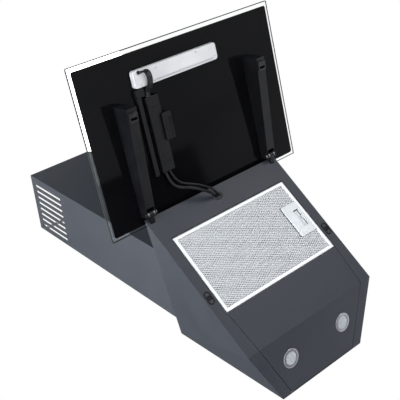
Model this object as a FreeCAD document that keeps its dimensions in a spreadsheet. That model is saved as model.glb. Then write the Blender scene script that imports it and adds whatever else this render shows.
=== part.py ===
# Angled wall-mounted cooker hood with a tilting glass cover and a chimney, millimetres.
# +Z up, the wall is the plane y = 0 and the front looks to -Y.
# The origin is the centre of the four wall holes in the back panel.
import FreeCAD, Part
import math
import os
import re
from types import SimpleNamespace

import Sketcher
from FreeCAD import Placement, Rotation, Vector

doc = FreeCAD.newDocument("CookerHood")

# Driving dimensions. Heights named *_height are above the foot edge of the body.
driving = {
    "mount_height": 230, "mount_spacing_x": 200, "mount_spacing_z": 150, "mount_hole_radius": 4.25,
    "body_half_width": 213, "rear_half_width": 145, "crease_half_width": 208.5, "foot_half_width": 136.5,
    "body_depth": 372, "body_height": 355, "crease_depth": 148, "crease_height": 32.5, "sheet": 1.5,
    "chimney_half_width": 111.5, "chimney_depth": 191, "chimney_height": 1102,
    "vent_length": 140, "vent_width": 8, "vent_pitch": 20.2, "vent_count": 8,
    "vent_first_depth": 162.5, "vent_top_height": 1079.5,
    "bracket_height": 1090, "bracket_strip": 15, "bracket_ear": 24,
    "bracket_hole_spacing": 120, "bracket_hole_radius": 3,
    "filter_half_width": 181, "filter_top": 70.7, "filter_bottom": 282.7, "filter_rim": 8.6,
    "filter_depth": 9, "filter_proud": 0.6, "filter_gap": 2.5,
    "panel_top": 284.6, "panel_top_half": 182, "panel_crease_half": 173.5, "panel_foot_half": 107,
    "panel_foot": 148, "panel_gap": 1.2,
    "lamp_offset": 89.6, "lamp_distance": 67, "lamp_bezel_radius": 23.6, "lamp_hole_radius": 21,
    "lamp_lens_radius": 15.5, "lamp_can_radius": 19, "lamp_can_depth": 24,
    "latch_left": 122, "latch_right": 169, "latch_top": 132, "latch_bottom": 222,
    "scoop_left": 147, "scoop_right": 165, "scoop_top": 152, "scoop_bottom": 202,
    "latch_bolt_reach": 188, "latch_bolt_width": 12,
    "glass_half_width": 300, "glass_length": 410, "glass_thickness": 5, "glass_corner": 3,
    "print_side": 8.8, "print_top": 10.5, "print_low": 8.5, "print_corner": 6, "print_thickness": 0.4,
    "door_edge_depth": 345.1, "door_edge_height": 364.4, "door_tilt": 168.18,
    "pivot_along": 35.5, "pivot_off": 22, "pin_radius": 3.5, "running_gap": 0.05,
    "arm_centre": 197.25, "arm_width": 25.5, "arm_wall": 1.5, "arm_start": 28, "arm_end": 297,
    "arm_low": 25.6, "arm_high": 53.9, "arm_knuckle": 8.5,
    "tongue_width": 12, "striker_along": 269,
    "catch_centre": 197, "catch_along": 234.6, "catch_length": 33, "catch_width": 16,
    "control_left": -147.5, "control_right": 101, "control_low": 317.8, "control_high": 358.6,
    "control_depth": 13, "control_wall": 2, "lead_x": -131, "lead_along": 352, "lead_hole_radius": 4.6,
    "rail_left": -149, "rail_right": -136.5, "rail_low": 106, "rail_high": 298, "rail_depth": 10,
    "rail_head_right": -126, "rail_head_low": 296, "rail_head_high": 315, "rail_head_depth": 11.6,
    "cover_left": -129, "cover_right": -92, "cover_low": 108, "cover_high": 293, "cover_depth": 13,
    "box_left": -100.5, "box_right": -74, "box_low": 181, "box_high": 247, "box_depth": 19,
    "gland_x": -5, "gland_along": 27, "gland_half": 14, "gland_radius": 10, "gland_neck_half": 12.6,
    "gland_neck_radius": 8.7, "power_passage": -5.2, "signal_passage": 5,
    "passage_lean": 40, "passage_heading": 28.4, "mains_x": 92, "mains_depth": 168,
    "power_radius": 4, "signal_radius": 3, "control_radius": 3.4,
    "collar_depth": 95, "collar_radius": 75, "collar_wall": 2, "collar_flange": 84, "collar_length": 60,
    "flap_radius": 72, "flap_thickness": 1.2, "flap_axis_x": 4, "flap_axis_height": 17,
    "flap_pin_radius": 1.5,
    "fan_height": 226, "fan_half_box": 118, "fan_back": 12, "fan_front": 140, "fan_wall": 2,
    "fan_floor_height": 108, "scroll_radius": 106, "scroll_shift": 8, "scroll_outlet": 72,
    "wheel_radius": 76, "wheel_inner": 62, "wheel_back": 66, "wheel_front": 126, "wheel_blades": 36,
    "motor_radius": 42, "motor_back": 16, "motor_front": 60, "shaft_radius": 4, "shaft_front": 124,
    "inlet_radius": 60,
}
dims = doc.addObject("Spreadsheet::Sheet", "Dims")
for row, (alias, number) in enumerate(driving.items(), 1):
    dims.set(f"A{row}", alias)
    dims.set(f"B{row}", str(number))
    dims.setAlias(f"B{row}", alias)
doc.recompute()
d = SimpleNamespace(**{alias: float(dims.get(alias)) for alias in driving})

# Places that are measured from the foot edge become heights above the origin.
TOP = "(body_height - mount_height)"
CHIMNEY_TOP = "(chimney_height - mount_height)"
FLAP_AXIS = f"({TOP} + flap_axis_height)"
BARE = Placement()


# ---------------------------------------------------------------- helpers
def linked(formula):
    """Writes a formula of plain names as an expression on the sheet."""
    return re.sub(r"[a-z_]+", lambda m: "Dims." + m[0] if m[0] in driving else m[0], formula)


def bind(item, **formulas):
    for name, formula in formulas.items():
        item.setExpression(name, linked(formula))


def put(item, corner):
    for axis, formula in zip("xyz", corner):
        item.setExpression("Placement.Base." + axis, linked(formula))


def block(label, corner, size, turn=None):
    """A box from its lowest corner; turn = (axis, formula of the angle)."""
    item = doc.addObject("Part::Box", label)
    bind(item, Length=size[0], Width=size[1], Height=size[2])
    if turn:
        item.Placement.Rotation = Rotation(turn[0], 1)
        item.setExpression("Placement.Rotation.Angle", linked(turn[1]))
    put(item, corner)
    return item


def rod(label, axis, radius, start, length):
    """A cylinder along X, Y or Z from the point start."""
    item = doc.addObject("Part::Cylinder", label)
    bind(item, Radius=radius, Height=length)
    if axis == "X":
        item.Placement.Rotation = Rotation(Vector(0, 1, 0), 90)
    if axis == "Y":
        item.Placement.Rotation = Rotation(Vector(1, 0, 0), -90)
    put(item, start)
    return item


def fuse(label, pieces, frame=BARE):
    item = doc.addObject("Part::MultiFuse", label)
    item.Shapes = pieces
    item.Refine = True
    item.Placement = frame
    return item


def cut(label, base, tools, frame=BARE):
    item = doc.addObject("Part::Cut", label)
    item.Base = base
    item.Tool = tools[0] if len(tools) == 1 else fuse(label + "_tools", tools)
    item.Placement = frame
    return item


def group(label, pieces, frame=BARE):
    item = doc.addObject("Part::Compound", label)
    item.Links = pieces
    item.Placement = frame
    return item


def draw(sketch, outline):
    """A closed polygon whose every corner is dimensioned from the origin by a formula."""
    count = len(outline)
    for i in range(count):
        angle, after = 2 * math.pi * i / count, 2 * math.pi * (i + 1) / count
        ends = [Vector(math.cos(a), math.sin(a), 0) for a in (angle, after)]
        sketch.addGeometry(Part.LineSegment(*ends))
    for i in range(count):
        sketch.addConstraint(Sketcher.Constraint("Coincident", i, 2, (i + 1) % count, 1))
    for i, corner in enumerate(outline):
        for kind, formula in zip("XY", corner):
            index = sketch.addConstraint(Sketcher.Constraint("Distance" + kind, -1, 1, i, 1, 1.0))
            sketch.renameConstraint(index, f"{kind.lower()}{i}")
            sketch.setExpression(f"Constraints.{kind.lower()}{i}", linked(formula))


def prism(label, outline, low, length, frame=BARE, side=False):
    """An extruded polygon: (x, y) corners raised along Z, or with side=True (y, z) along X."""
    sketch = doc.addObject("Sketcher::SketchObject", label + "_outline")
    draw(sketch, outline)
    if side:
        sketch.Placement.Rotation = Rotation(Vector(1, 1, 1), 120)
    sketch.setExpression("Placement.Base." + ("x" if side else "z"), linked(low))
    item = doc.addObject("Part::Extrusion", label)
    item.Base = sketch
    item.DirMode = "Normal"
    item.Solid = True
    bind(item, LengthFwd=length)
    item.Placement = frame
    return item


def new_body(label, frame=BARE):
    body = doc.addObject("PartDesign::Body", label)
    body.Placement = frame
    return body


def body_sketch(body, name, role, lift="0"):
    plane = [f for f in body.Origin.OriginFeatures if f.Role == role][0]
    sketch = body.newObject("Sketcher::SketchObject", name)
    sketch.AttachmentSupport = (plane, [""])
    sketch.MapMode = "FlatFace"
    sketch.setExpression("AttachmentOffset.Base.z", linked(lift))
    return sketch


def padded(label, outline, low, length, frame=BARE, corner=None):
    """A body raised along Z from an outline, with its upright edges rounded by corner."""
    body = new_body(label, frame)
    sketch = body_sketch(body, label + "_outline", "XY_Plane", low)
    draw(sketch, outline)
    pad = body.newObject("PartDesign::Pad", label + "_pad")
    pad.Profile = sketch
    bind(pad, Length=length)
    doc.recompute()
    if corner:
        upright = [f"Edge{i}" for i, e in enumerate(pad.Shape.Edges, 1)
                   if abs(e.tangentAt(e.FirstParameter).z) > 0.99]
        rounding = body.newObject("PartDesign::Fillet", label + "_corners")
        rounding.Base = (pad, upright)
        bind(rounding, Radius=corner)
    return body


def pocket(body, name, outline, low, length, role="XY_Plane"):
    """Cuts an outline out of a body and makes sure that material was really removed."""
    doc.recompute()
    before = body.Shape.Volume
    sketch = body_sketch(body, name + "_outline", role, low)
    draw(sketch, outline)
    cutting = body.newObject("PartDesign::Pocket", name)
    cutting.Profile = sketch
    cutting.Reversed = True
    bind(cutting, Length=length)
    doc.recompute()
    if body.Shape.Volume > before - 1:
        raise RuntimeError(f"{name} removed nothing")
    return cutting


def rectangle(left, right, low, high):
    return [(left, low), (right, low), (right, high), (left, high)]


def turned(label, outline, frame=BARE):
    """A body turned about its own Z axis from an outline of (radius, height) corners."""
    body = new_body(label, frame)
    sketch = body_sketch(body, label + "_outline", "XZ_Plane")
    draw(sketch, outline)
    turning = body.newObject("PartDesign::Revolution", label + "_turning")
    turning.Profile = sketch
    turning.ReferenceAxis = (sketch, ["V_Axis"])
    turning.Angle = 360
    return body


def moved(frame, x=0, y=0, z=0, turn=None):
    return frame.multiply(Placement(Vector(x, y, z), turn or Rotation()))


def tube(label, points, radius):
    """A lead along straight runs with tangent arcs, each as large as its two runs allow."""
    points = [Vector(*p) for p in points]
    edges, start, radii = [], points[0], []
    for before, corner, after in zip(points, points[1:], points[2:]):
        run_in, run_out = before - corner, after - corner
        trim = 0.45 * min(run_in.Length, run_out.Length)
        a, b = corner + run_in.normalize() * trim, corner + run_out.normalize() * trim
        half_turn = (math.pi - run_in.getAngle(run_out)) / 2
        radii.append(trim / math.tan(half_turn))
        bisector = (run_in + run_out).normalize()
        middle = corner + bisector * (radii[-1] / math.cos(half_turn) - radii[-1])
        edges.append(Part.LineSegment(start, a).toShape())
        edges.append(Part.Arc(a, middle, b).toShape())
        start = b
    edges.append(Part.LineSegment(start, points[-1]).toShape())
    path = Part.Wire(edges)
    ring = Part.Wire([Part.Circle(points[0], points[1] - points[0], radius).toShape()])
    item = doc.addObject("Part::Feature", label)
    item.Shape = path.makePipeShell([ring], True, False)
    ratio = item.Shape.Volume / (math.pi * radius ** 2 * path.Length)
    bends = ", ".join(f"{r:.1f}" for r in radii)
    print(f"{label}: length {path.Length:.1f}, bend radii {bends}, volume ratio {ratio:.4f}")
    return item


# ---------------------------------------------------------------- frames
# slant: x across, y down the slanted face from the body's top edge, z into the body.
# lamp: the same on the lamp face, from the crease to the foot.
# door: x across, y from the glass's low edge to its free edge, z off the inner face.
# fan: z forward along the fan axis from the wall, y up.
slant_angle = math.degrees(math.atan2(d.body_height - d.crease_height, d.body_depth - d.crease_depth))
lamp_angle = math.degrees(math.atan2(d.crease_height, d.crease_depth))
top_level = d.body_height - d.mount_height
slant = Placement(Vector(0, -d.body_depth, top_level), Rotation(Vector(1, 0, 0), -slant_angle))
lamp = Placement(Vector(0, -d.crease_depth, d.crease_height - d.mount_height),
                 Rotation(Vector(1, 0, 0), -lamp_angle))
door = Placement(Vector(0, -d.door_edge_depth, d.door_edge_height - d.mount_height),
                 Rotation(Vector(1, 0, 0), d.door_tilt))
fan = Placement(Vector(0, 0, d.fan_height - d.mount_height), Rotation(Vector(1, 0, 0), 90))
SLANT_LENGTH = "sqrt((body_height - crease_height)^2 + (body_depth - crease_depth)^2)"
nodes = []


# ---------------------------------------------------------------- body
def body_block():
    """The outer form: tapered cheeks, each folded once from the crease to the top rear corner."""
    foot = -d.mount_height
    corners = {}
    for side, sign in (("l", -1), ("r", 1)):
        corners["front" + side] = Vector(sign * d.body_half_width, -d.body_depth, top_level)
        corners["rear" + side] = Vector(sign * d.rear_half_width, 0, top_level)
        corners["crease" + side] = Vector(sign * d.crease_half_width, -d.crease_depth,
                                          d.crease_height + foot)
        corners["foot" + side] = Vector(sign * d.foot_half_width, 0, foot)
    faces = [("rearl", "rearr", "footr", "footl"), ("frontl", "frontr", "rearr", "rearl"),
             ("frontl", "frontr", "creaser", "creasel"), ("creasel", "creaser", "footr", "footl")]
    for side in "lr":
        faces.append(("front" + side, "rear" + side, "crease" + side))
        faces.append(("rear" + side, "foot" + side, "crease" + side))
    shells = [Part.Face(Part.makePolygon([corners[c] for c in face + face[:1]])) for face in faces]
    item = doc.addObject("Part::Feature", "body_block")
    item.Shape = Part.makeSolid(Part.makeShell(shells))
    return item


def body_room(block_form):
    """The space inside the sheet: every outer face moved in by the sheet, and the back left open."""
    room = Part.makeBox(2000, 2000, 2000, Vector(-1000, -1000, -1000))
    for face in block_form.Shape.Faces:
        outward = face.normalAt(0, 0)
        inset = -5 if outward.y > 0.99 else d.sheet
        behind = Part.makeBox(4000, 4000, 2000, Vector(-2000, -2000, -2000))
        behind.Placement = Placement(face.CenterOfMass - outward * inset, Rotation(Vector(0, 0, 1), outward))
        room = room.common(behind)
    item = doc.addObject("Part::Feature", "body_room")
    item.Shape = room
    return item


def body_shell():
    block_form = body_block()
    hull = cut("body_hull", block_form, [body_room(block_form)])
    opening = [("-filter_half_width - filter_gap", "filter_top - filter_gap"),
               ("filter_half_width + filter_gap", "filter_top - filter_gap"),
               ("filter_half_width + filter_gap", "panel_top - panel_gap"),
               ("panel_top_half + panel_gap", "panel_top - panel_gap"),
               ("panel_crease_half + panel_gap", SLANT_LENGTH),
               ("-panel_crease_half - panel_gap", SLANT_LENGTH),
               ("-panel_top_half - panel_gap", "panel_top - panel_gap"),
               ("-filter_half_width - filter_gap", "panel_top - panel_gap")]
    lamp_opening = [("-panel_crease_half - panel_gap", "-3"), ("panel_crease_half + panel_gap", "-3"),
                    ("panel_crease_half + panel_gap", "0"),
                    ("panel_foot_half + panel_gap", "panel_foot + panel_gap"),
                    ("-panel_foot_half - panel_gap", "panel_foot + panel_gap"),
                    ("-panel_crease_half - panel_gap", "0")]
    slots = [block(f"tongue_slot_{side}", (f"{sign}arm_centre - tongue_width / 2 - 1", "2", "-5"),
                   ("tongue_width + 2", "14", "15")) for side, sign in (("left", "-"), ("right", ""))]
    gland_hole = padded("gland_hole", rectangle("gland_x - gland_neck_half", "gland_x + gland_neck_half",
                                                "gland_along - gland_neck_radius",
                                                "gland_along + gland_neck_radius"),
                        "-5", "20", BARE, "gland_neck_radius - 0.1")
    face_tools = fuse("face_openings", slots + [gland_hole], slant)
    return cut("body_shell", hull, [
        prism("filter_opening", opening, "-4", "10", slant),
        prism("lamp_panel_opening", lamp_opening, "-4", "8", lamp),
        rod("outlet_hole", "Z", "collar_radius - collar_wall", ("0", "-collar_depth", f"{TOP} - 5"), "10"),
        rod("mains_hole", "Z", "6", ("mains_x", "-mains_depth", f"{TOP} - 5"), "10"),
        face_tools])


def back_panel():
    inset = "(sheet + 1)"
    outline = [(f"-foot_half_width + {inset}", f"-mount_height + {inset} + 1"),
               (f"foot_half_width - {inset}", f"-mount_height + {inset} + 1"),
               (f"rear_half_width - {inset}", f"{TOP} - {inset}"),
               (f"-rear_half_width + {inset}", f"{TOP} - {inset}")]
    body = new_body("back_panel")
    sketch = body_sketch(body, "back_panel_outline", "XZ_Plane")
    draw(sketch, outline)
    pad = body.newObject("PartDesign::Pad", "back_panel_pad")
    pad.Profile = sketch
    bind(pad, Length="sheet")
    doc.recompute()
    holes = body_sketch(body, "wall_holes_centres", "XZ_Plane")
    for i, (sx, sz) in enumerate(((-1, -1), (1, -1), (1, 1), (-1, 1))):
        holes.addGeometry(Part.Circle(Vector(sx * 50, sz * 50, 0), Vector(0, 0, 1), 4))
        for kind, sign, formula in (("DistanceX", sx, "mount_spacing_x / 2"),
                                    ("DistanceY", sz, "mount_spacing_z / 2")):
            index = holes.addConstraint(Sketcher.Constraint(kind, -1, 1, i, 3, 50.0 * sign))
            holes.renameConstraint(index, f"{kind}{i}")
            holes.setExpression(f"Constraints.{kind}{i}", linked(f"{sign} * {formula}"))
        index = holes.addConstraint(Sketcher.Constraint("Radius", i, 4.0))
        holes.renameConstraint(index, f"radius{i}")
        holes.setExpression(f"Constraints.radius{i}", linked("mount_hole_radius"))
    cutting = body.newObject("PartDesign::Pocket", "wall_holes")
    cutting.Profile = holes
    cutting.Type = 1
    cutting.Midplane = True
    return body


def lamp_panel():
    upper = [("-panel_top_half", "panel_top"), ("panel_top_half", "panel_top"),
             ("panel_crease_half", SLANT_LENGTH), ("-panel_crease_half", SLANT_LENGTH)]
    lower = [("-panel_crease_half", "0"), ("panel_crease_half", "0"),
             ("panel_foot_half", "panel_foot"), ("-panel_foot_half", "panel_foot")]
    folded = fuse("lamp_panel_folded", [prism("lamp_panel_upper", upper, "0", "sheet", slant),
                                        prism("lamp_panel_lower", lower, "0", "sheet", lamp)])
    holes = [rod(f"lamp_hole_{side}", "Z", "lamp_hole_radius", (f"{sign}lamp_offset", "lamp_distance", "-5"),
                 "12")
             for side, sign in (("left", "-"), ("right", ""))]
    return cut("lamp_panel", folded, [fuse("lamp_holes", holes, lamp)])


def panel_clips():
    clips = []
    for side, sign in (("left", "-1"), ("right", "1")):
        for end, along, across in (("upper", 310, 180), ("lower", 365, 176)):
            clips.append(block(f"clip_{side}_{end}", (f"{sign} * {across} - 9", str(along), "sheet"),
                               ("18", "14", "1.2")))
    return group("panel_clips", clips, slant)


# ---------------------------------------------------------------- filter
def filter_surround():
    """The tray behind the face that the filter lies in."""
    out, top, low = "(filter_half_width + 12)", "(filter_top - 10)", "(filter_bottom + 9)"
    seat = "(filter_depth - filter_proud + 0.2)"
    body = padded("filter_surround", rectangle(f"-{out}", out, top, low), "sheet", f"{seat} + 1.3 - sheet",
                  slant)
    pocket(body, "surround_recess", rectangle(f"-{out} + 1.5", f"{out} - 1.5", f"{top} + 1.5",
                                              f"{low} - 1.5"),
           "sheet", f"{seat} - sheet")
    pocket(body, "surround_window", rectangle("-filter_half_width + 9", "filter_half_width - 9",
                                               "filter_top + 9", "filter_bottom - 9"), f"{seat} - 0.1", "3")
    return body


def filter_frame():
    outer = rectangle("-filter_half_width", "filter_half_width", "filter_top", "filter_bottom")
    inner = rectangle("-filter_half_width + filter_rim", "filter_half_width - filter_rim",
                      "filter_top + filter_rim", "filter_bottom - filter_rim")
    rim = padded("filter_rim_body", outer, "-filter_proud", "filter_depth")
    pocket(rim, "filter_rim_window", inner, "-filter_proud - 1", "filter_depth + 2")
    tabs = [block(f"filter_tab_{i}", ("-filter_half_width - 8", along, "3"), ("9", "18", "2"))
            for i, along in enumerate(("filter_top + 40", "filter_bottom - 58"))]
    bolt_slot = block("bolt_slot", ("filter_half_width - filter_rim - 1",
                                    "(latch_top + latch_bottom - latch_bolt_width) / 2 - 0.3",
                                    "2.2"), ("filter_rim + 2", "latch_bolt_width + 0.6", "3.4"))
    return cut("filter_frame", fuse("filter_rim_tabs", [rim] + tabs), [bolt_slot], slant)


def filter_mesh():
    mesh = padded("filter_mesh_pad", rectangle("-filter_half_width + filter_rim",
                                               "filter_half_width - filter_rim",
                                               "filter_top + filter_rim", "filter_bottom - filter_rim"),
                  "0.4", "filter_depth - filter_proud - 1.4")
    room = block("latch_room", ("latch_left - 12", "latch_top - 1", "-1"),
                 ("filter_half_width - filter_rim - latch_left + 12", "latch_bottom - latch_top + 2", "7.4"))
    return cut("filter_mesh", mesh, [room], slant)


def latch_plate():
    plate = padded("latch_plate_body", rectangle("latch_left", "filter_half_width - filter_rim", "latch_top",
                                                 "latch_bottom"),
                   "-1.6", "1.6", BARE)
    pocket(plate, "finger_slot", rectangle("scoop_left", "scoop_right", "scoop_top", "scoop_bottom"),
           "-2", "3")
    stop = block("spring_stop", ("latch_left", "latch_top + 34", "0"), ("1.5", "28", "6"))
    return fuse("latch_plate", [plate, stop], slant)


def filter_latch():
    """The slide under the plate, with the finger scoop that shows through the slot, and its bolt."""
    middle = "(latch_top + latch_bottom) / 2"
    slide = block("latch_slide", ("latch_left + 14", "latch_top + 6", "0.2"),
                  ("filter_half_width - filter_rim - latch_left - 15",
                   "latch_bottom - latch_top - 12", "2.2"))
    scoop = block("latch_scoop", ("scoop_left", "scoop_top", "0"),
                  ("scoop_right - scoop_left", "scoop_bottom - scoop_top", "1.9"))
    bolt = block("latch_bolt", ("latch_right - 12", f"{middle} - latch_bolt_width / 2", "2.4"),
                 ("latch_bolt_reach - latch_right + 12", "latch_bolt_width", "3"))
    seat = block("latch_seat", ("latch_left + 14", f"{middle} - 8", "2.2"), ("3", "16", "3.6"))
    link = block("latch_link", ("latch_left + 16", f"{middle} - 5", "2.2"),
                 ("latch_right - latch_left - 20", "10", "2.5"))
    return cut("filter_latch", fuse("latch_slide_with_bolt", [slide, bolt, seat, link]), [scoop], slant)


def latch_spring():
    helix = doc.addObject("Part::Helix", "spring_helix")
    helix.Pitch, helix.Height, helix.Radius = 2.3, 11.5, 1.5
    wire = doc.addObject("Part::Circle", "spring_wire")
    wire.Radius = 0.3
    wire.Placement = Placement(Vector(1.5, 0, 0), Rotation(Vector(1, 0, 0), 90))
    sweep = doc.addObject("Part::Sweep", "latch_spring")
    sweep.Sections = [wire]
    sweep.Spine = (helix, ["Edge1"])
    sweep.Solid = True
    sweep.Frenet = True
    middle = (d.latch_top + d.latch_bottom) / 2
    sweep.Placement = moved(slant, d.latch_left + 1.9, middle, 4, Rotation(Vector(0, 1, 0), 90))
    return sweep


# ---------------------------------------------------------------- chimney
def chimney_cover():
    """A folded channel, open to the wall, with a row of air slots near the top of each side."""
    wall = "sheet"
    outline = [("-chimney_half_width", "0"), ("-chimney_half_width", "-chimney_depth"),
               ("chimney_half_width", "-chimney_depth"), ("chimney_half_width", "0"),
               (f"chimney_half_width - {wall}", "0"),
               (f"chimney_half_width - {wall}", f"-chimney_depth + {wall}"),
               (f"-chimney_half_width + {wall}", f"-chimney_depth + {wall}"),
               (f"-chimney_half_width + {wall}", "0")]
    body = padded("chimney_cover", outline, TOP, "chimney_height - body_height")
    slot = rectangle("-vent_first_depth - vent_width / 2", "-vent_first_depth + vent_width / 2",
                     f"{CHIMNEY_TOP} - (chimney_height - vent_top_height) - vent_length",
                     f"{CHIMNEY_TOP} - (chimney_height - vent_top_height)")
    first = pocket(body, "first_vent", slot, "-chimney_half_width - 5", "2 * chimney_half_width + 10",
                   "YZ_Plane")
    row_of_vents = body.newObject("PartDesign::LinearPattern", "vent_row")
    row_of_vents.Originals = [first]
    row_of_vents.Direction = (first.Profile[0], ["H_Axis"])
    bind(row_of_vents, Length="vent_pitch * (vent_count - 1)", Occurrences="vent_count")
    body.Tip = row_of_vents
    return body


def chimney_bracket():
    """The wall strip that the top of the chimney cover is screwed to."""
    low = "(bracket_height - bracket_strip - mount_height)"
    inside = "(chimney_half_width - sheet - 0.2)"
    strip = block("bracket_back", (f"-{inside}", "-2", low), (f"2 * {inside}", "2", "bracket_strip"))
    ears = [block("bracket_ear_left", (f"-{inside}", "-bracket_ear", low),
                  ("2", "bracket_ear", "bracket_strip")),
            block("bracket_ear_right", (f"{inside} - 2", "-bracket_ear", low),
                  ("2", "bracket_ear", "bracket_strip"))]
    middle = f"{low} + bracket_strip / 2"
    holes = [rod(f"bracket_hole_{side}", "Y", "bracket_hole_radius",
                 (f"{sign}bracket_hole_spacing / 2", "-5", middle), "10")
             for side, sign in (("left", "-"), ("right", ""))]
    return cut("chimney_bracket", fuse("bracket_strip_folded", [strip] + ears), holes)


def chimney_screws():
    """One low-headed screw at each side, through the cover into the bracket's ear."""
    screws = []
    height = d.bracket_height - d.bracket_strip / 2 - d.mount_height
    for side, sign in (("left", -1), ("right", 1)):
        frame = Placement(Vector(sign * d.chimney_half_width, -14, height),
                          Rotation(Vector(0, 1, 0), sign * 90))
        screws.append(turned(f"chimney_screw_{side}", [("0", "-6"), ("1.6", "-6"), ("1.6", "0"), ("3.5", "0"),
                                                       ("3", "1.4"), ("0", "1.6")], frame))
    return group("chimney_screws", screws)


# ---------------------------------------------------------------- outlet
outlet = Placement(Vector(0, -d.collar_depth, top_level), Rotation())


def outlet_collar():
    inner = "(collar_radius - collar_wall)"
    ring = turned("collar_ring", [(inner, "0"), ("collar_flange", "0"), ("collar_flange", "2"),
                                  ("collar_radius", "2"),
                                  ("collar_radius", "collar_length"), (inner, "collar_length")])
    ledge = turned("collar_ledge", [("flap_radius - 2.5", "flap_axis_height - 2.7"),
                                    (f"{inner} + 0.5", "flap_axis_height - 2.7"),
                                    (f"{inner} + 0.5", "flap_axis_height - 0.7"),
                                    ("flap_radius - 2.5", "flap_axis_height - 0.7")])
    holes = [rod(f"flap_pin_hole_{side}", "Y", "flap_pin_radius",
                 (f"{sign}flap_axis_x", "-collar_radius - 5", "flap_axis_height"),
                 "2 * collar_radius + 10") for side, sign in (("left", "-"), ("right", ""))]
    room = block("knuckle_room", ("-flap_axis_x - 4", "-flap_radius - 0.5", "flap_axis_height - 4"),
                 ("2 * flap_axis_x + 8", "2 * flap_radius + 1", "4"))
    return cut("outlet_collar", fuse("collar_with_ledge", [ring, ledge]), holes + [room], outlet)


def damper_pins():
    """Two pins across the spigot, whose ends stay just inside its outer face."""
    half = "(collar_radius - 0.8)"
    pins = [rod(f"damper_pin_{side}", "Y", "flap_pin_radius",
                (f"{sign}flap_axis_x", f"-{half}", "flap_axis_height"),
                f"2 * {half}") for side, sign in (("left", "-"), ("right", ""))]
    return group("damper_pins", pins, outlet)


def damper_flap(side, sign):
    """A half disc with a barrel that turns on its pin; it lies on the collar's ledge."""
    half_length = "(flap_radius - 3)"
    disc = rod(f"flap_disc_{side}", "Z", "flap_radius - 0.6", ("0", "0", "flap_axis_height - 0.6"),
               "flap_thickness")
    away = f"({sign}flap_axis_x - {100 if sign else 0})"
    keep = block(f"flap_half_{side}", (away, "-flap_radius - 5", "flap_axis_height - 5"),
                 ("100", "2 * flap_radius + 10", "20"))
    half = doc.addObject("Part::Common", f"flap_half_disc_{side}")
    half.Base, half.Tool = disc, keep
    barrel = rod(f"flap_barrel_{side}", "Y", "flap_pin_radius + 1.5",
                 (f"{sign}flap_axis_x", f"-{half_length}", "flap_axis_height"),
                 f"2 * {half_length}")
    ends = [block(f"flap_trim_{side}_{i}", (f"{sign}flap_axis_x - 6", low, "flap_axis_height - 6"),
                  ("12", "20", "12"))
            for i, low in enumerate((f"-{half_length} - 20", half_length))]
    bore = rod(f"flap_bore_{side}", "Y", "flap_pin_radius + running_gap",
               (f"{sign}flap_axis_x", "-100", "flap_axis_height"), "200")
    return cut(f"damper_flap_{side}", fuse(f"flap_with_barrel_{side}", [half, barrel]), [bore] + ends, outlet)


def mains_gland():
    frame = Placement(Vector(d.mains_x, -d.mains_depth, top_level), Rotation())
    return turned("mains_gland", [("4", "-8"), ("5.9", "-8"), ("5.9", "0"), ("10", "0"), ("10", "3"),
                                  ("7", "12"), ("4", "12")],
                  frame)


# ---------------------------------------------------------------- fan
def fan_housing():
    """A sheet box with a round mouth under the outlet; its front is closed by a plate."""
    floor = "(fan_floor_height - mount_height)"
    box = block("fan_box", ("-fan_half_box", "-fan_front", floor),
                ("2 * fan_half_box", "fan_front - fan_back", f"{TOP} - sheet - 0.2 - {floor}"))
    hollow = block("fan_hollow", ("-fan_half_box + fan_wall", "-fan_front - 1", f"{floor} + fan_wall"),
                   ("2 * fan_half_box - 2 * fan_wall", "fan_front - fan_back - fan_wall + 1",
                    f"{TOP} - sheet - 0.2 - {floor} - 2 * fan_wall"))
    mouth = rod("fan_mouth", "Z", "fan_front - collar_depth - 4", ("0", "-collar_depth", f"{TOP} - 8"), "12")
    return cut("fan_housing", box, [hollow, mouth])


def fan_front_plate():
    floor = "(fan_floor_height - mount_height)"
    plate = block("fan_plate", ("-fan_half_box", "-fan_front - fan_wall", floor),
                  ("2 * fan_half_box", "fan_wall", f"{TOP} - sheet - 0.2 - {floor}"))
    eye = rod("fan_eye", "Y", "inlet_radius + 6", ("0", "-fan_front - 10", "fan_height - mount_height"), "20")
    return cut("fan_front_plate", plate, [eye])


def inlet_ring():
    return turned("inlet_ring", [("inlet_radius", "fan_front - 10"), ("inlet_radius + 2", "fan_front - 10"),
                                 ("inlet_radius + 5.8", "fan_front + fan_wall - 1"),
                                 ("inlet_radius + 5.8", "fan_front + fan_wall"),
                                 ("inlet_radius + 14", "fan_front + fan_wall"),
                                 ("inlet_radius + 14", "fan_front + fan_wall + 1.5"),
                                 ("inlet_radius + 4", "fan_front + fan_wall + 1.5")],
                  fan)


def scroll_wall():
    """The curved wall round the wheel and the two straight walls up to the mouth."""
    depth = "fan_front - fan_back - fan_wall - 0.4"
    low = "fan_back + fan_wall + 0.2"
    outer = rod("scroll_outer", "Z", "scroll_radius", ("scroll_shift", "0", low), depth)
    inner = rod("scroll_inner", "Z", "scroll_radius - 1.5", ("scroll_shift", "0", "fan_back"), "fan_front")
    gate = block("scroll_gate", ("-scroll_outlet", "20", "0"), ("2 * scroll_outlet", "120", "fan_front + 10"))
    ring = cut("scroll_ring", outer, [inner, gate])
    top = "(body_height - fan_height - sheet - 2 * fan_wall - 0.6)"
    walls = []
    for side, sign, x in (("left", -1, "-scroll_outlet - 1.5"), ("right", 1, "scroll_outlet")):
        start = f"(sqrt((scroll_radius - 1)^2 - (scroll_outlet - {sign} * scroll_shift)^2) - 2)"
        walls.append(block(f"scroll_side_{side}", (x, start, low), ("1.5", f"{top} - {start}", depth)))
    return fuse("scroll_wall", [ring] + walls, fan)


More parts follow.
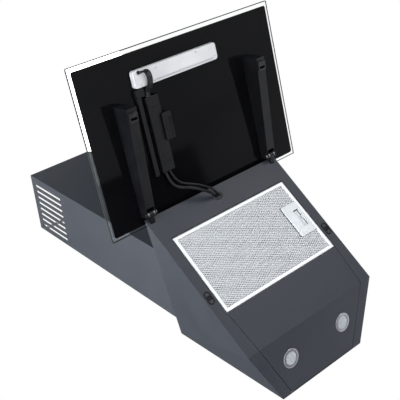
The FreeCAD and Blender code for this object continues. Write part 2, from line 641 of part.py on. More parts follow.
def impeller():
    """Back plate with hub, forward-curved blades and a front ring."""
    body = new_body("impeller", fan)
    sketch = body_sketch(body, "wheel_outline", "XZ_Plane")
    draw(sketch, [("shaft_radius", "wheel_back - 1"), ("12", "wheel_back - 1"), ("12", "wheel_back"),
                  ("wheel_radius", "wheel_back"), ("wheel_radius", "wheel_back + 1.5"),
                  ("14", "wheel_back + 1.5"),
                  ("12", "wheel_back + 26"), ("shaft_radius", "wheel_back + 26")])
    plate = body.newObject("PartDesign::Revolution", "wheel_plate")
    plate.Profile = sketch
    plate.ReferenceAxis = (sketch, ["V_Axis"])
    doc.recompute()
    blade_sketch = body_sketch(body, "blade_outline", "XY_Plane", "wheel_back + 1")
    draw(blade_sketch, [("wheel_inner", "0"), ("wheel_inner + 5", "-1.6"), ("wheel_radius - 1", "1.6"),
                        ("wheel_radius - 1.4", "2.6"), ("wheel_inner + 5", "-0.6"), ("wheel_inner", "1")])
    blade = body.newObject("PartDesign::Pad", "blade")
    blade.Profile = blade_sketch
    bind(blade, Length="wheel_front - wheel_back - 2")
    doc.recompute()
    blades = body.newObject("PartDesign::PolarPattern", "blades")
    blades.Originals = [blade]
    blades.Axis = (blade_sketch, ["N_Axis"])
    blades.Angle = 360
    bind(blades, Occurrences="wheel_blades")
    body.Tip = blades
    doc.recompute()
    ring_sketch = body_sketch(body, "ring_outline", "XZ_Plane")
    draw(ring_sketch, [("wheel_inner + 3", "wheel_front - 3"), ("wheel_radius", "wheel_front - 3"),
                       ("wheel_radius", "wheel_front"), ("wheel_inner + 3", "wheel_front")])
    ring = body.newObject("PartDesign::Revolution", "front_ring")
    ring.Profile = ring_sketch
    ring.ReferenceAxis = (ring_sketch, ["V_Axis"])
    body.Tip = ring
    return body


def motor_housing():
    bore = "(shaft_radius + running_gap)"
    return turned("motor_housing", [(bore, "motor_back + 6"), (bore, "motor_front"), ("16", "motor_front"),
                                    ("20", "motor_front - 6"), ("motor_radius - 4", "motor_front - 6"),
                                    ("motor_radius", "motor_front - 10"), ("motor_radius", "motor_back + 3"),
                                    ("motor_radius + 12", "motor_back + 3"),
                                    ("motor_radius + 12", "motor_back"),
                                    ("12", "motor_back"), ("12", "motor_back + 6")], fan)


def motor_mounts():
    mounts = []
    for i in range(3):
        angle = math.radians(90 + 120 * i)
        reach = d.motor_radius + 7
        frame = moved(fan, reach * math.cos(angle), reach * math.sin(angle), 0)
        mounts.append(turned(f"motor_mount_{i}", [("0", "fan_back + fan_wall"), ("5", "fan_back + fan_wall"),
                                                  ("5", "motor_back"), ("0", "motor_back")], frame))
    return group("motor_mounts", mounts)


def motor_shaft():
    return turned("motor_shaft", [("0", "motor_back + 8"), ("shaft_radius", "motor_back + 8"),
                                  ("shaft_radius", "wheel_back + 26"), ("3", "wheel_back + 26"),
                                  ("3", "shaft_front - 18"), ("0", "shaft_front - 18")], fan)


def wheel_nut():
    return turned("wheel_nut", [("3", "wheel_back + 26"), ("7", "wheel_back + 26"), ("7", "wheel_back + 32"),
                                ("5", "wheel_back + 34"), ("3", "wheel_back + 34")], fan)


# ---------------------------------------------------------------- electronics
def electronics():
    """The control box under the top sheet, with its board and the fan capacitor."""
    left, rear, depth, width, drop = -105, -225, 90, 120, 24
    low = f"{TOP} - sheet - {drop}"
    box = block("electronics_solid", (str(left), str(rear - depth), low), (str(width), str(depth), str(drop)))
    hollow = block("electronics_hollow", (str(left + 1.5), str(rear - depth + 1.5), f"{low} + 1.5"),
                   (str(width - 3), str(depth - 3), str(drop)))
    board = block("circuit_board", (str(left + 6), str(rear - depth + 6), f"{low} + 6"),
                  (str(width - 12), str(depth - 12), "1.6"))
    posts = [block(f"board_post_{i}", (str(x), str(y), f"{low} + 1.5"), ("5", "5", "4.5"))
             for i, (x, y) in enumerate(((left + 8, rear - depth + 8), (left + width - 13, rear - depth + 8),
                                         (left + 8, rear - 13), (left + width - 13, rear - 13)))]
    capacitor = rod("capacitor", "Y", "12", (str(left + width + 22), str(rear - depth + 10),
                                             f"{TOP} - sheet - 12"), "62")
    tray = cut("electronics_tray", box, [hollow])
    return [fuse("electronics_box", [tray] + posts), board, capacitor]


# ---------------------------------------------------------------- lamps
def lamp_pieces(side, sign):
    frame = moved(lamp, sign * d.lamp_offset, d.lamp_distance)
    bezel = turned(f"lamp_bezel_{side}", [("lamp_lens_radius", "-1.6"), ("lamp_bezel_radius - 1", "-1.6"),
                                          ("lamp_bezel_radius", "-0.8"), ("lamp_bezel_radius", "0"),
                                          ("lamp_hole_radius - 0.2", "0"), ("lamp_hole_radius - 0.2", "3"),
                                          ("lamp_lens_radius", "3")], frame)
    lens = turned(f"lamp_lens_{side}", [("0", "-1.2"), ("lamp_lens_radius", "-1.2"),
                                        ("lamp_lens_radius", "2"), ("0", "2")],
                  frame)
    can = turned(f"lamp_housing_{side}", [("0", "lamp_can_depth"), ("lamp_can_radius", "lamp_can_depth"),
                                          ("lamp_can_radius", "3"), ("lamp_hole_radius - 0.2", "3"),
                                          ("lamp_hole_radius - 0.2", "lamp_can_depth + 2"),
                                          ("0", "lamp_can_depth + 2")], frame)
    return [bezel, lens, can]


# ---------------------------------------------------------------- hinges
pivot_world = door.multVec(Vector(0, d.pivot_along, d.pivot_off))
pivot_slant = slant.inverse().multVec(pivot_world)


def hinge_bracket(side, sign):
    """A tongue out of the slot in the slanted face, carried by a foot behind the sheet."""
    low_x = f"{sign}arm_centre - tongue_width / 2"
    y, z = round(pivot_slant.y, 2), round(pivot_slant.z, 2)
    arm = prism(f"tongue_{side}", [("5.5", "sheet"), (str(y - 6.5), str(z + 3)), (str(y + 3), str(z - 6.5)),
                                   (str(y + 7.5), str(z)), ("15", "sheet")], low_x, "tongue_width", BARE,
                True)
    knuckle = rod(f"tongue_knuckle_{side}", "X", "7.5", (low_x, str(y), str(z)), "tongue_width")
    foot = block(f"tongue_foot_{side}", (f"{sign}arm_centre - 12", "5.5", "sheet"), ("20", "28", "3"))
    bore = rod(f"tongue_bore_{side}", "X", "pin_radius", (f"{low_x} - 5", str(y), str(z)),
               "tongue_width + 10")
    return cut(f"hinge_bracket_{side}", fuse(f"tongue_blank_{side}", [arm, knuckle, foot]), [bore], slant)


def hinge_pins():
    """Headed pins: the bright head is on the arm's inner side."""
    pins = []
    inner = d.arm_centre - d.arm_width / 2
    for side, sign in (("left", -1), ("right", 1)):
        frame = Placement(Vector(sign * inner, pivot_world.y, pivot_world.z),
                          Rotation(Vector(0, 1, 0), sign * 90))
        pins.append(turned(f"hinge_pin_{side}",
                           [("0", "-4"), ("4.4", "-4"), ("5.5", "-3"), ("5.5", "-running_gap"),
                            ("pin_radius", "-running_gap"), ("pin_radius", "arm_width + 1.5"),
                            ("0", "arm_width + 1.5")], frame))
    return group("hinge_pins", pins)


def friction_washers():
    washers = []
    gap = (d.arm_width - 2 * d.arm_wall - d.tongue_width) / 2
    for side, sign in (("left", -1), ("right", 1)):
        for place, start in (("inner", -d.tongue_width / 2 - gap + 0.1), ("outer", d.tongue_width / 2)):
            frame = Placement(Vector(sign * d.arm_centre + start, pivot_world.y, pivot_world.z),
                              Rotation(Vector(0, 1, 0), 90))
            washers.append(turned(f"washer_{side}_{place}",
                                  [("pin_radius", "0"), ("6.5", "0"), ("6.5", str(gap - 0.1)),
                                   ("pin_radius", str(gap - 0.1))], frame))
    return group("friction_washers", washers)


def catch(side, sign):
    """An oblong magnet catch on the flange beside the filter."""
    left = f"({sign}catch_centre - catch_width / 2)"
    ring = padded(f"catch_ring_{side}", rectangle(left, f"{left} + catch_width",
                                                  "catch_along - catch_length / 2",
                                                  "catch_along + catch_length / 2"), "-2.5", "2.5", BARE,
                  "catch_width / 2 - 0.1")
    well = rod(f"catch_well_{side}", "Z", "4.8", (f"{sign}catch_centre", "catch_along", "-3"), "2.4")
    return cut(f"catch_{side}", ring, [well], slant)


# ---------------------------------------------------------------- door
def arm_face(s):
    """How far the arm's front face stands off the glass at a place along it."""
    share = (s - d.pivot_along) / (d.arm_end - 3.5 - d.pivot_along)
    return d.arm_low + (d.arm_high - d.arm_low) * share


def hinge_arm(side, sign):
    """A box-section arm, deeper towards its free end, with a slotted fork round the pivot."""
    low_x = f"({sign}arm_centre - arm_width / 2)"
    end_low, face_start = "print_thickness", str(round(arm_face(d.arm_start), 2))
    outline = [("arm_start", end_low), ("arm_end", end_low), ("arm_end - 3.5", "arm_high"),
               ("arm_start", face_start)]
    outer = prism(f"arm_outer_{side}", outline, low_x, "arm_width", BARE, True)
    knuckle = rod(f"arm_knuckle_{side}", "X", "arm_knuckle", (low_x, "pivot_along", "pivot_off"), "arm_width")
    inside = [("arm_start - 20", f"{end_low} + arm_wall"), ("arm_end - arm_wall", f"{end_low} + arm_wall"),
              ("arm_end - 3.5 - arm_wall", "arm_high - arm_wall"),
              ("arm_start - 20", f"{round(arm_face(d.arm_start - 20), 2)} - arm_wall")]
    hollow = prism(f"arm_hollow_{side}", inside, f"{low_x} + arm_wall", "arm_width - 2 * arm_wall", BARE,
                   True)
    fork = block(f"arm_fork_{side}", (f"{low_x} + arm_wall", "arm_start - 20", "pivot_off - 12"),
                 ("arm_width - 2 * arm_wall", "44", "30"))
    bore = rod(f"arm_bore_{side}", "X", "pin_radius + running_gap",
               (f"{low_x} - 5", "pivot_along", "pivot_off"), "arm_width + 10")
    slot = block(f"arm_slot_{side}", (f"{sign}arm_centre - 9", "striker_along - 3", "arm_high - 12"),
                 ("18", "6", "15"))
    return cut(f"hinge_arm_{side}", fuse(f"arm_blank_{side}", [outer, knuckle]), [hollow, fork, bore, slot],
               door)


def door_strikers():
    """Steel keepers on the arms' faces, round the slots; they meet the catches."""
    strikers = []
    lift = arm_face(d.striker_along)
    tilt = math.degrees(math.atan2(d.arm_high - d.arm_low, d.arm_end - 3.5 - d.pivot_along))
    for side, sign in (("left", -1), ("right", 1)):
        frame = moved(door, sign * d.arm_centre, d.striker_along, lift, Rotation(Vector(1, 0, 0), tilt))
        plate = padded(f"striker_plate_{side}", rectangle("-11.5", "11.5", "-8", "15"), "0", "3.5", BARE, "4")
        slot = block(f"striker_slot_{side}", ("-9", "-3", "-1"), ("18", "6", "6"))
        strikers.append(cut(f"striker_{side}", plate, [slot], frame))
    return group("door_strikers", strikers)


def glass_panel():
    return padded("glass_panel", rectangle("-glass_half_width", "glass_half_width", "0", "glass_length"),
                  "-glass_thickness", "glass_thickness", door, "glass_corner")


def glass_print():
    return padded("glass_print", rectangle("-glass_half_width + print_side",
                                           "glass_half_width - print_side",
                                           "print_low", "glass_length - print_top"),
                  "0", "print_thickness", door, "print_corner")


def control_module():
    """The touch unit behind the glass: a lidded tray with its board and four screws."""
    case = padded("control_case", rectangle("control_left", "control_right", "control_low", "control_high"),
                  "print_thickness", "control_depth", BARE, "7")
    hollow = padded("control_hollow", rectangle("control_left + control_wall", "control_right - control_wall",
                                                "control_low + control_wall", "control_high - control_wall"),
                    "print_thickness - 1", "control_depth + 1 - control_wall", BARE, "5")
    face = "(print_thickness + control_depth)"
    groove = block("control_groove", ("control_left + 50.5", "control_low + 4.2", f"{face} - 1.5"),
                   ("control_right - control_left - 63.5", "3.6", "2"))
    exit_hole = rod("control_exit", "Z", "lead_hole_radius", ("lead_x", "lead_along", f"{face} - 4"), "10")
    spots = [("control_left + 64.5", "control_high - 7.4"), ("control_right - 62", "control_high - 7.4"),
             ("control_left + 18.5", "control_low + 4.7"), ("control_right - 8.5", "control_low + 9.2")]
    wells = [rod(f"control_well_{i}", "Z", "2.6", (x, y, f"{face} - 1.2"), "3")
             for i, (x, y) in enumerate(spots)]
    housing = cut("control_housing", case, [hollow, groove, exit_hole] + wells, door)
    heads = [rod(f"control_screw_{i}", "Z", "2.4", (x, y, f"{face} - 1.2"), "0.9")
             for i, (x, y) in enumerate(spots)]
    board = block("touch_board_blank", ("control_left + 4", "control_low + 4", "print_thickness"),
                  ("control_right - control_left - 8", "control_high - control_low - 8", "2"))
    chip = block("touch_chip", ("0", "control_low + 18", "print_thickness + 1.9"), ("14", "14", "2"))
    return [housing, group("control_screws", heads, door), fuse("touch_board", [board, chip], door)]


def cable_guides():
    """The rail and the wider cover that lead the wires over the glass, with their plug box."""
    bar = padded("rail_bar", rectangle("rail_left", "rail_right", "rail_low", "rail_high"),
                 "print_thickness", "rail_depth", BARE, "3")
    head = padded("rail_head", rectangle("rail_left", "rail_head_right", "rail_head_low", "rail_head_high"),
                  "print_thickness", "rail_head_depth", BARE, "2")
    rail = fuse("cable_rail", [bar, head], door)
    plate = padded("cable_cover_body", rectangle("cover_left", "cover_right", "cover_low", "cover_high"),
                   "print_thickness", "cover_depth", BARE, "4")
    duct = block("cover_duct", ("cover_left + 2", "cover_low - 1", "print_thickness - 1"),
                 ("cover_right - cover_left - 4", "cover_high - cover_low + 2", "cover_depth - 1"))
    cover = cut("cable_cover", plate, [duct], door)
    foot = padded("connector_foot", rectangle("cover_right", "box_right", "box_low", "box_high"),
                  "print_thickness", "cover_depth")
    lid = padded("connector_lid", rectangle("box_left", "box_right", "box_low", "box_high"),
                 "print_thickness + cover_depth", "box_depth - cover_depth", BARE, "3")
    recess = block("connector_recess", ("box_left + 5", "box_low + 8", "box_depth - 1.6"),
                   ("box_right - box_left - 10.5", "box_high - box_low - 20", "5"))
    return [rail, cover, cut("connector_box", fuse("connector_case", [foot, lid]), [recess], door)]


def lead_sleeve():
    """A ribbed rubber collar round the lead where it goes into the cover."""
    frame = moved(door, -118, d.cover_high, 8, Rotation(Vector(1, 0, 0), -90))
    bore, neck, rib, pitch, ribs = d.control_radius + 0.3, 5.5, 6.4, 3.2, 3
    rings = [(bore, 0), (7, 0), (7, 2)]
    for i in range(ribs):
        low = 2 + pitch * i
        rings += [(neck, low), (neck, low + 1.2), (rib, low + 1.2), (rib, low + 2.4)]
    end = 2 + pitch * ribs
    rings += [(neck, end - pitch + 2.4), (neck, end), (bore, end)]
    return turned("lead_sleeve", [(str(r), str(round(z, 2))) for r, z in rings], frame)


# The leads' routes. Door places are (x, along the glass, off the glass).
def on_door(*place):
    return tuple(door.multVec(Vector(*place)))


def gland_place(x, reach):
    return tuple(slant.multVec(in_passage(x, reach)))


lean, heading = math.radians(d.passage_lean), math.radians(d.passage_heading)
PASSAGE_WAY = Vector(-math.cos(heading) * math.sin(lean), -math.sin(heading) * math.sin(lean),
                     -math.cos(lean))


def in_passage(x, reach):
    """A place on the slanted face's frame, on the leaning axis of the grommet's passage at x."""
    return Vector(d.gland_x + x, d.gland_along, 0) + PASSAGE_WAY * reach


def cable_gland():
    """An oval grommet in the band above the filter, with two passages that lean towards the cover."""
    body = padded("gland_oval", rectangle("gland_x - gland_half", "gland_x + gland_half",
                                          "gland_along - gland_radius", "gland_along + gland_radius"),
                  "-3", "3", BARE, "gland_radius - 0.1")
    half, radius = "(gland_neck_half - 0.1)", "(gland_neck_radius - 0.1)"
    neck = padded("gland_neck", rectangle(f"gland_x - {half}", f"gland_x + {half}",
                                          f"gland_along - {radius}", f"gland_along + {radius}"),
                  "-0.5", "4.5", BARE, f"{radius} - 0.2")
    passages = []
    for name, x in (("power", d.power_passage), ("signal", d.signal_passage)):
        passage = doc.addObject("Part::Cylinder", f"gland_passage_{name}")
        bind(passage, Radius=f"{name}_radius", Height="40")
        passage.Placement = Placement(in_passage(x, -20), Rotation(Vector(0, 0, 1), PASSAGE_WAY))
        passages.append(passage)
    return cut("cable_gland", fuse("gland_blank", [body, neck]), passages, slant)


power_route = [on_door(-119, 108, 6), on_door(-116.5, 84, 8.4), on_door(-101, 62, 16.5), (-72, -404, 117),
               (-40, -386.5, 101.5), gland_place(d.power_passage, 18), gland_place(d.power_passage, -4)]
signal_route = [on_door(-106, 108, 6), on_door(-103, 90, 8), on_door(-88, 68, 15), (-56, -405, 119),
                (-26, -389, 106), gland_place(d.signal_passage, 18), gland_place(d.signal_passage, -4)]
control_route = [on_door(d.lead_x, d.lead_along, 8), on_door(d.lead_x, d.lead_along, 19),
                 on_door(-117, 354.6, 23.6), on_door(-109, 338.7, 21.6), on_door(-112, 317, 21.4),
                 on_door(-118, 311.5, 8), on_door(-118, 293.5, 8)]


# ---------------------------------------------------------------- assembly
screws = chimney_screws()
cover_blank = chimney_cover()
bracket_blank = chimney_bracket()
cover_blank.Label, bracket_blank.Label = "chimney_cover_blank", "chimney_bracket_blank"
cover = cut("chimney_cover_drilled", cover_blank, [screws])
cover.Label = "chimney_cover"
bracket = cut("chimney_bracket_drilled", bracket_blank, [screws])
bracket.Label = "chimney_bracket"
nodes += [body_shell(), back_panel(), lamp_panel(), panel_clips(), cover, bracket, screws]
nodes += [filter_surround(), filter_frame(), filter_mesh(), latch_plate(), filter_latch(), latch_spring()]
nodes += [outlet_collar(), damper_pins(), damper_flap("left", "-"), damper_flap("right", ""), mains_gland()]
nodes += [fan_housing(), fan_front_plate(), inlet_ring(), scroll_wall(), impeller(), wheel_nut()]
nodes += [motor_housing(), motor_mounts(), motor_shaft(), hinge_pins(), friction_washers(), door_strikers()]
nodes += [glass_panel(), glass_print(), lead_sleeve(), cable_gland()]
nodes += electronics() + control_module() + cable_guides()
for side, sign, number in (("left", "-", -1), ("right", "", 1)):
    nodes += lamp_pieces(side, number)
    nodes += [hinge_bracket(side, sign), catch(side, sign), hinge_arm(side, sign)]
nodes += [tube("power_cable", power_route, d.power_radius),
          tube("signal_cable", signal_route, d.signal_radius),
          tube("control_lead", control_route, d.control_radius)]

doc.recompute()
faults = [o.Label for o in doc.Objects if {"Invalid", "Error"} & set(o.State)]
faults += [o.Label for o in nodes if o.Shape.isNull() or not o.Shape.isValid() or not o.Shape.Solids]
if faults:
    raise RuntimeError(f"failed: {faults}")
os.makedirs("parts", exist_ok=True)
for node in nodes:
    node.Shape.exportStep(f"parts/{node.Label}.step")
print(len(nodes), "nodes written")
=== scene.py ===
import math

import bmesh
import bpy
from mathutils import Matrix, Vector


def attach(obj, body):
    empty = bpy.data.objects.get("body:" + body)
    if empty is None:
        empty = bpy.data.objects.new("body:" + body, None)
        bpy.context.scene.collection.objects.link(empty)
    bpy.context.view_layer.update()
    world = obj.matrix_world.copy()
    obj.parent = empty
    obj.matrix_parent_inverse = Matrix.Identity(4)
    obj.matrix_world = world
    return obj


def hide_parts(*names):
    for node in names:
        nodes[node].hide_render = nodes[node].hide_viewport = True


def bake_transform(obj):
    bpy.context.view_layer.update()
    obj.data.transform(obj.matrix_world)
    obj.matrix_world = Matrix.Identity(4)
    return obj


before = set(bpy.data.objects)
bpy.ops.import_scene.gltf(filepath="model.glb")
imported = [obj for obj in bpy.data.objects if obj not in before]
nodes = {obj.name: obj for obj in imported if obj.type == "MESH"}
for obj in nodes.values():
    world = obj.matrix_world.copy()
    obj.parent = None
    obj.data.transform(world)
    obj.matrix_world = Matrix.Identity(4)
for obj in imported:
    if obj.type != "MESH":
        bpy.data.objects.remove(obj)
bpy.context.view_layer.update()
print("frame loaded,", len(nodes), "nodes")

mm = 0.001


def tiltedPlane(place, degrees):
    return Matrix.Translation(place) @ Matrix.Rotation(math.radians(degrees), 4, "X")


# Working planes: X runs across the hood on all of them.
# door: Y along the glass from its low edge, Z off the inner face.
# slant and lamp: Y down the face, Z into the body.
doorPlane = tiltedPlane((0, -0.3451, 0.1344), 168.18)
slantPlane = tiltedPlane((0, -0.372, 0.125), -55.2)
lampPlane = tiltedPlane((0, -0.148, -0.1975), -12.4)


# camera
cameraSetup = {
    "place": (-1.1147, -1.3220, -1.2140),
    "right": (0.749821, 0.079061, -0.6569),
    "up": (0.376899, -0.867042, 0.325861),
    "lens": 72.75, "sensor": 36,
    "near": 0.05, "far": 90,
}


def addObject(name, data):
    made = bpy.data.objects.new(name, data)
    bpy.context.scene.collection.objects.link(made)
    return made


def makeCamera():
    lens = bpy.data.cameras.new("studioCamera")
    lens.lens = cameraSetup["lens"]
    lens.sensor_width = cameraSetup["sensor"]
    lens.clip_start = cameraSetup["near"]
    lens.clip_end = cameraSetup["far"]
    camera = addObject("studioCamera", lens)
    right = Vector(cameraSetup["right"]).normalized()
    back = right.cross(Vector(cameraSetup["up"])).normalized()
    turn = Matrix((right, back.cross(right), back)).transposed().to_4x4()
    camera.matrix_world = Matrix.Translation(cameraSetup["place"]) @ turn
    bpy.context.scene.camera = camera


# world and lights
lightSetup = {
    "sky": (0.93, 0.95, 1.0, 1), "skyStrength": 0.25, "backdrop": (1.0, 1.0, 1.0, 1),
    "ceiling": {"strength": 1.7, "angle": 12, "way": (0.66, 0.12, -1)},
    # name: place, aimed at, width, height, watts, colour
    "lamps": {
        "sideGlow": ((-2.35, 0.75, 1.6), (-0.2, -0.2, 0.1), 1.5, 1.5, 38, (0.90, 0.95, 1.0)),
        "sideSoftbox": ((-2.6, -1.1, 0.1), (-0.1, -0.2, 0.2), 1.8, 1.4, 92, (0.92, 0.96, 1.0)),
        "slantGlow": ((1.41, -2.4, -0.57), (0.0, -0.3, 0.0), 1.1, 1.1, 11, (0.97, 0.98, 1.0)),
        "topSoftbox": ((0.5, 0.5, 2.9), (0.0, -0.3, 0.3), 2.0, 1.6, 50, (1.0, 0.99, 0.98)),
        "rearSoftbox": ((2.4, 1.2, 1.0), (0.0, -0.2, 0.3), 1.6, 1.6, 30, (0.97, 0.98, 1.0)),
    },
}


# The backdrop is white, and what it lights and reflects is the dimmer sky.
def makeWorld():
    world = bpy.data.worlds.new("studioAir")
    bpy.context.scene.world = world
    world.use_nodes = True
    tree = world.node_tree
    tree.nodes.clear()
    out = tree.nodes.new("ShaderNodeOutputWorld")
    room = tree.nodes.new("ShaderNodeBackground")
    room.inputs["Color"].default_value = lightSetup["sky"]
    room.inputs["Strength"].default_value = lightSetup["skyStrength"]
    backdrop = tree.nodes.new("ShaderNodeBackground")
    backdrop.inputs["Color"].default_value = lightSetup["backdrop"]
    rays = tree.nodes.new("ShaderNodeLightPath")
    either = tree.nodes.new("ShaderNodeMath")
    either.operation = "MAXIMUM"
    mix = tree.nodes.new("ShaderNodeMixShader")
    tree.links.new(rays.outputs["Is Camera Ray"], either.inputs[0])
    tree.links.new(rays.outputs["Is Transmission Ray"], either.inputs[1])
    tree.links.new(either.outputs[0], mix.inputs[0])
    tree.links.new(room.outputs[0], mix.inputs[1])
    tree.links.new(backdrop.outputs[0], mix.inputs[2])
    tree.links.new(mix.outputs[0], out.inputs["Surface"])


def aimAlong(thing, way):
    thing.rotation_euler = Vector(way).to_track_quat("-Z", "Y").to_euler()


def makeLights():
    for name, (place, target, width, height, watts, tint) in lightSetup["lamps"].items():
        light = bpy.data.lights.new(name, "AREA")
        light.shape = "RECTANGLE"
        light.size = width
        light.size_y = height
        light.energy = watts
        light.color = tint
        lamp = addObject(name, light)
        lamp.location = place
        aimAlong(lamp, Vector(target) - Vector(place))
    sun = bpy.data.lights.new("ceilingLight", "SUN")
    sun.energy = lightSetup["ceiling"]["strength"]
    sun.angle = math.radians(lightSetup["ceiling"]["angle"])
    aimAlong(addObject("ceilingLight", sun), lightSetup["ceiling"]["way"])


# Square sheets that lie flat on the stage. The dark card is seen only as a reflection,
# and keeps the lamp face deeper than the slanted panel.
stageSheets = {
    "studioFloor": {"centre": (0, 0), "half": 45, "level": -1.62, "paper": "studioPaper",
                    "colour": (0.88, 0.88, 0.885, 1), "roughness": 0.9, "hidden": ()},
    "darkCard": {"centre": (0.6, 0.35), "half": 0.6, "level": -1.61, "paper": "cardFelt",
                 "colour": (0.01, 0.01, 0.01, 1), "roughness": 0.5,
                 "hidden": ("camera", "transmission", "shadow", "diffuse")},
}


def makeStage():
    for name, look in stageSheets.items():
        (x, y), half, level = look["centre"], look["half"], look["level"]
        mesh = bpy.data.meshes.new(name)
        corners = [(x + a * half, y + b * half, level) for a, b in ((-1, -1), (1, -1), (1, 1), (-1, 1))]
        mesh.from_pydata(corners, [], [(0, 1, 2, 3)])
        sheet = addObject(name, mesh)
        for kind in look["hidden"]:
            setattr(sheet, "visible_" + kind, False)
        paper = bpy.data.materials.new(look["paper"])
        paper.use_nodes = True
        shader = paper.node_tree.nodes["Principled BSDF"]
        shader.inputs["Base Color"].default_value = look["colour"]
        shader.inputs["Roughness"].default_value = look["roughness"]
        mesh.materials.append(paper)


makeCamera()
makeWorld()
makeLights()
makeStage()
bpy.context.scene.view_settings.view_transform = "Standard"
print("camera and studio ready")


# finishes
def addNode(tree, kind, inputs=None, **settings):
    node = tree.nodes.new("ShaderNode" + kind)
    for key, value in settings.items():
        setattr(node, key, value)
    for key, value in (inputs or {}).items():
        if isinstance(value, bpy.types.NodeSocket):
            tree.links.new(value, node.inputs[key])
        else:
            node.inputs[key].default_value = value
    return node


shaderSockets = {"metal": "Metallic", "specular": "Specular IOR Level", "ior": "IOR",
                 "clear": "Transmission Weight"}


def startFinish(name, look):
    material = bpy.data.materials.new(name)
    material.use_nodes = True
    tree = material.node_tree
    shader = tree.nodes["Principled BSDF"]
    place = addNode(tree, "TexCoord").outputs["Object"]
    for key, socket in shaderSockets.items():
        if key in look:
            shader.inputs[socket].default_value = look[key]
    return material, tree, shader, place


# Maps the middle of a pattern onto a range of values.
def spread(tree, source, low, high, start=0.3, end=0.7):
    inputs = {"Value": source, "From Min": start, "From Max": end, "To Min": low, "To Max": high}
    return addNode(tree, "MapRange", inputs).outputs[0]


def twoTone(tree, share, first, second):
    mix = addNode(tree, "Mix", data_type="RGBA")
    tree.links.new(share, mix.inputs["Factor"])
    mix.inputs["A"].default_value = (*first, 1)
    mix.inputs["B"].default_value = (*second, 1)
    return mix.outputs["Result"]


def addRelief(tree, shader, height, depth, edge=0.0):
    inputs = {"Height": height, "Distance": depth, "Strength": 1.0}
    if edge:
        inputs["Normal"] = addNode(tree, "Bevel", {"Radius": edge}, samples=4).outputs[0]
    tree.links.new(addNode(tree, "Bump", inputs).outputs[0], shader.inputs["Normal"])


# A coated or moulded surface: slow changes of tone, a fine grain in the relief, roughness that wanders.
def grainedFinish(name, look):
    material, tree, shader, place = startFinish(name, look)
    slow = addNode(tree, "TexNoise", {"Vector": place, "Scale": look["patch"], "Detail": 3.0}).outputs[0]
    fine = addNode(tree, "TexNoise", {"Vector": place, "Scale": look["grain"], "Detail": 2.0}).outputs[0]
    tree.links.new(twoTone(tree, spread(tree, slow, 0, 1), *look["tones"]), shader.inputs["Base Color"])
    tree.links.new(spread(tree, slow, *look["rough"]), shader.inputs["Roughness"])
    addRelief(tree, shader, fine, look["relief"], look.get("edge", 0))
    return material


# Metal with long fine lines: the noise is stretched along one axis.
def brushedFinish(name, look):
    material, tree, shader, place = startFinish(name, look)
    stretched = addNode(tree, "Mapping", {"Vector": place, "Scale": look["stretch"]}).outputs[0]
    lines = addNode(tree, "TexNoise", {"Vector": stretched, "Scale": look["grain"], "Detail": 4.0}).outputs[0]
    tree.links.new(twoTone(tree, spread(tree, lines, 0, 1), *look["tones"]), shader.inputs["Base Color"])
    tree.links.new(spread(tree, lines, *look["rough"]), shader.inputs["Roughness"])
    addRelief(tree, shader, lines, look["relief"], look.get("edge", 0))
    return material


# Sheet with crystal flowers; on the filter pad the same cells are painted glints and painted shade of mesh
# layers deep behind the lattice.
def spangledFinish(name, look):
    material, tree, shader, place = startFinish(name, look)
    flowers = addNode(tree, "TexVoronoi", {"Vector": place, "Scale": look["grain"]})
    shade = addNode(tree, "SeparateColor", {"Color": flowers.outputs["Color"]}).outputs[0]
    tree.links.new(twoTone(tree, shade, *look["tones"]), shader.inputs["Base Color"])
    tree.links.new(spread(tree, shade, *look["rough"], 0, 1), shader.inputs["Roughness"])
    addRelief(tree, shader, flowers.outputs["Distance"], look["relief"], look.get("edge", 0))
    return material


# Clear or frosted glass, a little uneven.
def glassFinish(name, look):
    material, tree, shader, place = startFinish(name, look)
    waves = addNode(tree, "TexNoise", {"Vector": place, "Scale": look["patch"], "Detail": 1.0}).outputs[0]
    tree.links.new(twoTone(tree, spread(tree, waves, 0, 1), *look["tones"]), shader.inputs["Base Color"])
    tree.links.new(spread(tree, waves, *look["rough"]), shader.inputs["Roughness"])
    addRelief(tree, shader, waves, look["relief"])
    return material


